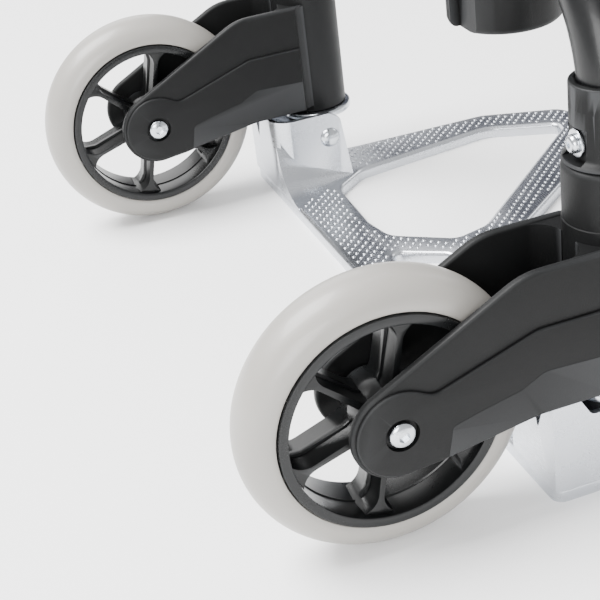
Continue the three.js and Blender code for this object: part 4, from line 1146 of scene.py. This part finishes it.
    def fastening(self) -> None:
        """Turns the collar's washer and its socket screw."""
        washer, screw = Span("left_collar_washer"), self.screw
        inner, outer = 2.7 * MM, washer.size.z / 2
        low, high = washer.low.x, washer.high.x
        centre = (0, self.post * MM, screw.centre.z)
        ring = turned("left_screw_washer", [
            (inner, low), (outer - 0.3 * MM, low), (outer, low + 0.3 * MM), (outer, high - 0.2 * MM),
            (outer - 0.2 * MM, high), (inner, high), (inner, low)], centre, Axis.X, 64, closed=True)
        on_both_sides(ring, BRIGHT_ZINC, "collar_washer")
        tip, end = screw.low.x / MM, screw.high.x / MM
        profile = [(0, tip), (2.6, tip), (3.6, tip + 0.5), (4.2, tip + 1.4), (4.4, tip + 2.4),
                   (4.4, tip + 3.1), (2.4, tip + 3.1), (2.4, end), (0, end)]
        head = turned("head", millimetres(profile), centre, Axis.X, 48)
        hexagon = [(0, tip - 1), (1.8, tip - 1), (1.8, tip + 1.6), (0, tip + 1.8)]
        head = combine(head, [turned("socket", millimetres(hexagon), centre, Axis.X, 6)])
        on_both_sides(named(head, "left_socket_screw"), BRIGHT_ZINC, "collar_screw")

    def socket(self) -> None:
        """Models the socket that joins an arch, an upright and the cross tube."""
        r, low, high = self.socket_radius, self.socket_low, self.socket_high
        profile = [(0, low), (r - 3.4, low), (r - 1.8, low + 0.5), (r - 0.6, low + 1.6),
                   (r, low + 3.2), (r, high - 2.4), (r - 0.5, high - 1), (r - 1.7, high), (0, high)]
        whole = turned("shell", millimetres(profile), spot(0, self.upright, 0), Axis.Z, 112)
        face = box("face", spot(-60, self.upright - 2, 0),
                   spot(-r + 5, self.upright + 16, high + 1))
        flat = box("flat", spot(self.socket_front, self.upright - 60, 0),
                   spot(90, self.upright + 60, high + 1))
        whole = combine(whole, [face, flat])
        reach = Span("left_tube_socket").high.y / MM
        arm_radius, cross = self.tube + 4, spot(0, 0, self.arch_height)
        arm_profile = [(0, self.upright), (arm_radius, self.upright), (arm_radius, reach - 1.5),
                       (arm_radius - 0.7, reach - 0.4), (arm_radius - 1.6, reach), (0, reach)]
        arm = turned("arm", millimetres(arm_profile), cross, Axis.Y, 72)
        whole = combine(whole, [arm], "UNION")
        bore = rod("bore", OUTER_TUBE_BORE, low + 6, high + 1, spot(0, self.upright, 0), Axis.Z, 96)
        inward = rod("inward", self.tube + GAP, self.upright - 40, self.upright - 10, cross, Axis.Y,
                     64)
        whole = combine(whole, [bore, self.arch(4, self.tube + GAP), inward])
        on_both_sides(named(whole, "left_frame_socket"), SAND_NYLON, "tube_socket")

    def build(self) -> None:
        """Makes every piece of the lower frame."""
        self.arches()
        self.washer()
        self.foot_block()
        self.collar()
        self.fastening()
        self.socket()


# ---- Uprights and handle ----------------------------------------------------------------


@dataclass
class Uprights:
    """The fixed outer tubes, the sliding inner tubes and the bridge across the outer ones."""

    bridge_radius: float = 20.0
    beam: float = 9.0
    wall: float = 1.4
    tube_stop: float = 11.7

    def tube(self, node: str, body: str) -> None:
        """Draws one hollow tube with eased ends."""
        span = Span(f"left_{node}")
        low, high, radius = span.low.z / MM, span.high.z / MM, span.size.y / 2 / MM
        inside = radius - self.wall
        profile = [(inside, low), (radius - 0.3, low), (radius, low + 0.4), (radius, high - 0.4),
                   (radius - 0.3, high), (inside, high), (inside, low)]
        piece = turned(f"left_{node}_drawn", millimetres(profile), (0, span.centre.y, 0), Axis.Z,
                       64, closed=True)
        if node == "inner_tube":
            pin = Span("left_lock_pin").centre.z
            piece = combine(piece, [rod("hole", 3.3, 0, 20, (0, span.centre.y, pin), Axis.Y)])
        on_both_sides(piece, ANODISED_TUBE, node, body)

    def bridge(self) -> None:
        """Models the bridge: a beam, a collar round each tube, and a hollow underneath."""
        bridge, y, r = Span("upper_bridge"), Span("left_outer_tube").centre.y / MM, self.bridge_radius
        low, high = bridge.low.z / MM, bridge.high.z / MM
        stop = high - self.tube_stop
        beam = box("beam", spot(-self.beam, -y, low + 6), spot(self.beam, y, high - 6))
        soften(beam, 3 * MM, 4)
        beam = combine(beam, [box("hollow", spot(-6, -y + r + 3, low), spot(6, y - r - 3, high - 9))])
        collars, bores = [], []
        for sign in (1, -1):
            axis = spot(0, sign * y, 0)
            collars.append(turned("collar", millimetres([
                (0, low), (r - 1.6, low), (r - 0.4, low + 0.5), (r, low + 1.8), (r, high - 4),
                (r - 0.8, high - 1.8), (r - 2.4, high - 0.5), (r - 4.2, high), (0, high)]), axis,
                Axis.Z, 80))
            bores.append(turned("bore", millimetres([
                (0, low - 1), (OUTER_TUBE_BORE, low - 1), (OUTER_TUBE_BORE, stop),
                (INNER_TUBE_BORE, stop), (INNER_TUBE_BORE, high + 1), (0, high + 1)]), axis,
                Axis.Z, 64))
        whole = named(combine(combine(beam, collars, "UNION"), bores), "bridge_moulding")
        finished(whole, SAND_NYLON, "chassis", ["upper_bridge"])

    def build(self) -> None:
        """Makes the tubes and the bridge."""
        self.tube("outer_tube", "chassis")
        self.tube("inner_tube", "handle")
        self.bridge()


@dataclass
class Handle:
    """The handle: two half shells with a channel between them, a soft grip and a finger lever."""

    radius: float = 15.5
    bend: float = 26.0
    grip_radius: float = 18.0
    channel: float = 5.0
    lever: float = 4.2
    lever_room: float = 35.0
    grip_ends: float = 1.5
    waves: int = 13
    wave_height: float = 0.35

    def __post_init__(self) -> None:
        """Reads the handle's place from the frame, in millimetres."""
        shell, grip = Span("handle_front_shell"), Span("grip")
        self.low = shell.low.z / MM
        self.centre_z = grip.centre.z / MM
        self.side = Span("left_inner_tube").centre.y / MM
        self.tube_top = Span("left_inner_tube").high.z / MM
        self.half_grip = grip.size.y / 2 / MM

    def cutters(self) -> list[bpy.types.Object]:
        """Makes the blocks that hollow the handle for the tubes, rods, link and lever."""
        c, z, side = self.channel, self.centre_z, self.side
        parts = []
        for sign in (1, -1):
            parts.append(rod("leg", INNER_TUBE_BORE, self.low - 1, self.tube_top + GAP,
                             spot(0, sign * side, 0), Axis.Z, 56))
            parts.append(box("rod_room", spot(-c, sign * side - 5, self.low),
                             spot(c, sign * side + 5, z + 5)))
        parts.append(box("link_room", spot(-c - 0.1, -side - 3, z - 6),
                         spot(c + 0.1, side + 3, z + 5.2)))
        parts.append(box("lift_room", spot(-c + 0.1, -side + 22, z - 5.8),
                         spot(c - 0.1, side - 22, z + 9)))
        parts.append(box("slot", spot(-c + 0.2, -self.lever_room, z - 20),
                         spot(c - 0.2, self.lever_room, z)))
        return parts

    def shells(self) -> None:
        """Bends the handle, hollows it and splits it down the middle."""
        side, z, bend = self.side, self.centre_z, self.bend
        whole = tube_along("handle", self.radius * MM, spot(0, side, self.low), Axis.Z, [
            ((z - bend - self.low) * MM, None), (1, spot(0, side - bend, z - bend)),
            (2 * (side - bend) * MM, None), (1, spot(0, -side + bend, z - bend)),
            ((z - bend - self.low) * MM, None)])
        soften(whole, 1.2 * MM, 3, 50)
        whole = combine(whole, self.cutters())
        for name, sign in (("handle_front_shell", 1), ("handle_rear_shell", -1)):
            half = copy_of(whole, f"{name}_moulding")
            edit(half)
            bpy.ops.mesh.bisect(plane_co=(sign * 0.15 * MM, 0, 0), plane_no=(1, 0, 0), use_fill=True,
                                clear_inner=sign > 0, clear_outer=sign < 0)
            bpy.ops.object.mode_set(mode="OBJECT")
            tidy(half)
            finished(half, SAND_NYLON, "handle", [name])
        bpy.data.objects.remove(whole, do_unlink=True)

    def grip(self) -> None:
        """Turns the soft grip with shallow finger grooves and cuts its slot."""
        half, outer, inner = self.half_grip, self.grip_radius, self.radius + GAP
        count, length = 4 * self.waves, 2 * (half - self.grip_ends)
        wave = [(outer - self.wave_height * (1 + math.cos(math.tau * i / 4)),
                 self.grip_ends - half + length * i / count) for i in range(count + 1)]
        profile = [(inner, -half), (outer - 1.4, -half), (outer - 0.8, -half + 0.5), *wave,
                   (outer - 0.8, half - 0.5), (outer - 1.4, half), (inner, half), (inner, -half)]
        piece = turned("grip_sleeve", millimetres(profile), spot(0, 0, self.centre_z), Axis.Y,
                       80, closed=True)
        slot = box("slot", spot(-6, -self.lever_room - 1, self.centre_z - outer - 1),
                   spot(6, self.lever_room + 1, self.centre_z - self.radius + 4))
        piece = named(combine(piece, [slot]), "grip_sleeve")
        finished(piece, SOFT_GRIP, "handle", ["grip"])

    def trigger(self) -> None:
        """Models the finger lever with a rounded pull edge."""
        span = Span("release_trigger")
        low, high, half = span.low.z / MM, span.high.z / MM, span.high.y / MM
        right = [(half - 8, low, 7), (half, low + 5, 0), (half, low + 10, 0), (10, low + 10, 2),
                 (10, high, 0)]
        left = [(-y, z, r) for y, z, r in reversed(right)]
        outline = rounded(millimetres([left[3], left[4], *right, *left[:3]]))
        lever = outline_piece("finger_lever", outline, -self.lever * MM, self.lever * MM, Axis.X)
        soften(lever, 0.9 * MM, 3)
        finished(lever, SMOOTH_NYLON, "release", ["release_trigger"])

    def build(self) -> None:
        """Makes the shells, the grip and the lever."""
        self.shells()
        self.grip()
        self.trigger()


# ---- Scene ------------------------------------------------------------------------------

DESIGN_FINISH = {
    "plate_aluminium": PRESSED_SHEET, "tube_aluminium": ANODISED_TUBE, "frame_tube": POWDER_COAT,
    "black_nylon": SAND_NYLON, "gloss_nylon": SMOOTH_NYLON, "tyre": TYRE_RUBBER,
    "zinc": BRIGHT_ZINC, "bearing_steel": GROUND_STEEL, "acetal": ACETAL, "soft_grip": SOFT_GRIP,
}


def dress_design_nodes(frame: dict) -> None:
    """Gives every design node the finish of its slot in the record."""
    slots = {row["node"]: row["material_slot"] for row in frame["record"]["subparts"]}
    for name, node in frame["nodes"].items():
        for holder in node.material_slots:
            holder.material = DESIGN_FINISH[slots[name]].build()


def matt(name: str, shade: str) -> bpy.types.Material:
    """Makes a plain matt material for the studio."""
    material = bpy.data.materials.new(name)
    material.use_nodes = True
    shader = material.node_tree.nodes["Principled BSDF"]
    shader.inputs["Base Color"].default_value = linear(shade)
    shader.inputs["Roughness"].default_value = 0.9
    return material


@dataclass(frozen=True)
class SoftLight:
    """One square soft light."""

    name: str
    at: Point
    size: float
    power: float
    aim: Point = (0, 0, 0.1)

    def hang(self) -> None:
        """Hangs the light and aims it."""
        lamp = bpy.data.lights.new(self.name, "AREA")
        lamp.shape = "SQUARE"
        lamp.size = self.size
        lamp.energy = self.power
        holder = bpy.data.objects.new(self.name, lamp)
        bpy.context.scene.collection.objects.link(holder)
        holder.location = self.at
        holder.rotation_mode = "QUATERNION"
        holder.rotation_quaternion = (Vector(self.aim) - Vector(self.at)).to_track_quat("-Z", "Y")


LIGHTS = (
    SoftLight("key_softbox", (-1.2, 0.4, 2.3), 1.6, 240),
    SoftLight("front_softbox", (-0.6, -1.1, 0.5), 0.6, 16, (-0.12, -0.2, 0.08)),
    SoftLight("right_strip", (2.0, 0.4, 1.4), 0.8, 8),
    SoftLight("rear_panel", (0.0, 2.39, 1.25), 1.5, 24),
)


@dataclass(frozen=True)
class Studio:
    """A pale floor, soft lights and the camera."""

    azimuth: float = -16.58
    elevation: float = 29.27
    roll: float = -7.46
    location: Point = (-0.3068, -0.7313, 0.4455)
    lens: float = 90.06
    surround: float = 0.9
    card_at: Point = (1.85, 1.79, 1.25)
    card_size: Flat = (2.4, 1.7)
    card_turn: float = -18

    def floor(self) -> None:
        """Lays a seamless pale floor, far wider than the view."""
        start()
        bpy.ops.mesh.primitive_plane_add(size=12, location=(0, 0, 0))
        ground = bpy.context.object
        ground.name = "studio_floor"
        ground.data.materials.append(matt("floor_matt_paper", "f4f4f4"))

    def grey_card(self) -> None:
        """Stands a dark card behind the trolley, for the bright metal to reflect."""
        start()
        bpy.ops.mesh.primitive_plane_add(size=1, location=self.card_at)
        card = bpy.context.object
        card.name = "studio_grey_card"
        card.rotation_euler = (math.pi / 2, 0, math.radians(self.card_turn))
        card.scale = (*self.card_size, 1)
        settle(card)
        card.data.materials.append(matt("card_grey_felt", "2c2e38"))

    def world(self) -> None:
        """Surrounds the scene with even white light."""
        world = bpy.data.worlds.new("studio_world")
        bpy.context.scene.world = world
        world.use_nodes = True
        background = world.node_tree.nodes["Background"]
        background.inputs["Color"].default_value = (1, 1, 1, 1)
        background.inputs["Strength"].default_value = self.surround

    def camera(self) -> None:
        """Stands the camera at its place, aimed by its three angles."""
        lens = bpy.data.cameras.new("camera")
        lens.lens = self.lens
        lens.sensor_width = 36
        lens.clip_start = 0.01
        holder = bpy.data.objects.new("camera", lens)
        bpy.context.scene.collection.objects.link(holder)
        azimuth, elevation = math.radians(self.azimuth), math.radians(self.elevation)
        forward = Vector((-math.sin(azimuth) * math.cos(elevation),
                          math.cos(azimuth) * math.cos(elevation), -math.sin(elevation)))
        level = forward.cross(Vector((0, 0, 1))).normalized()
        upright = level.cross(forward)
        roll = math.radians(self.roll)
        right = level * math.cos(roll) + upright * math.sin(roll)
        up = right.cross(forward)
        holder.matrix_world = Matrix.Translation(self.location) @ Matrix(
            (right, up, -forward)).transposed().to_4x4()
        bpy.context.scene.camera = holder

    def build(self) -> None:
        """Sets the whole studio."""
        self.floor()
        self.world()
        for light in LIGHTS:
            light.hang()
        self.grey_card()
        self.camera()


def main() -> None:
    """Builds the visual model around the design frame."""
    logging.basicConfig(level=logging.INFO, format="%(message)s")
    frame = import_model()
    dress_design_nodes(frame)
    for side in Side:
        Wheel(side).build()
    Fork().build()
    ToePlate().build()
    LowerFrame().build()
    Uprights().build()
    Handle().build()
    Studio().build()


if __name__ == "__main__":
    main()
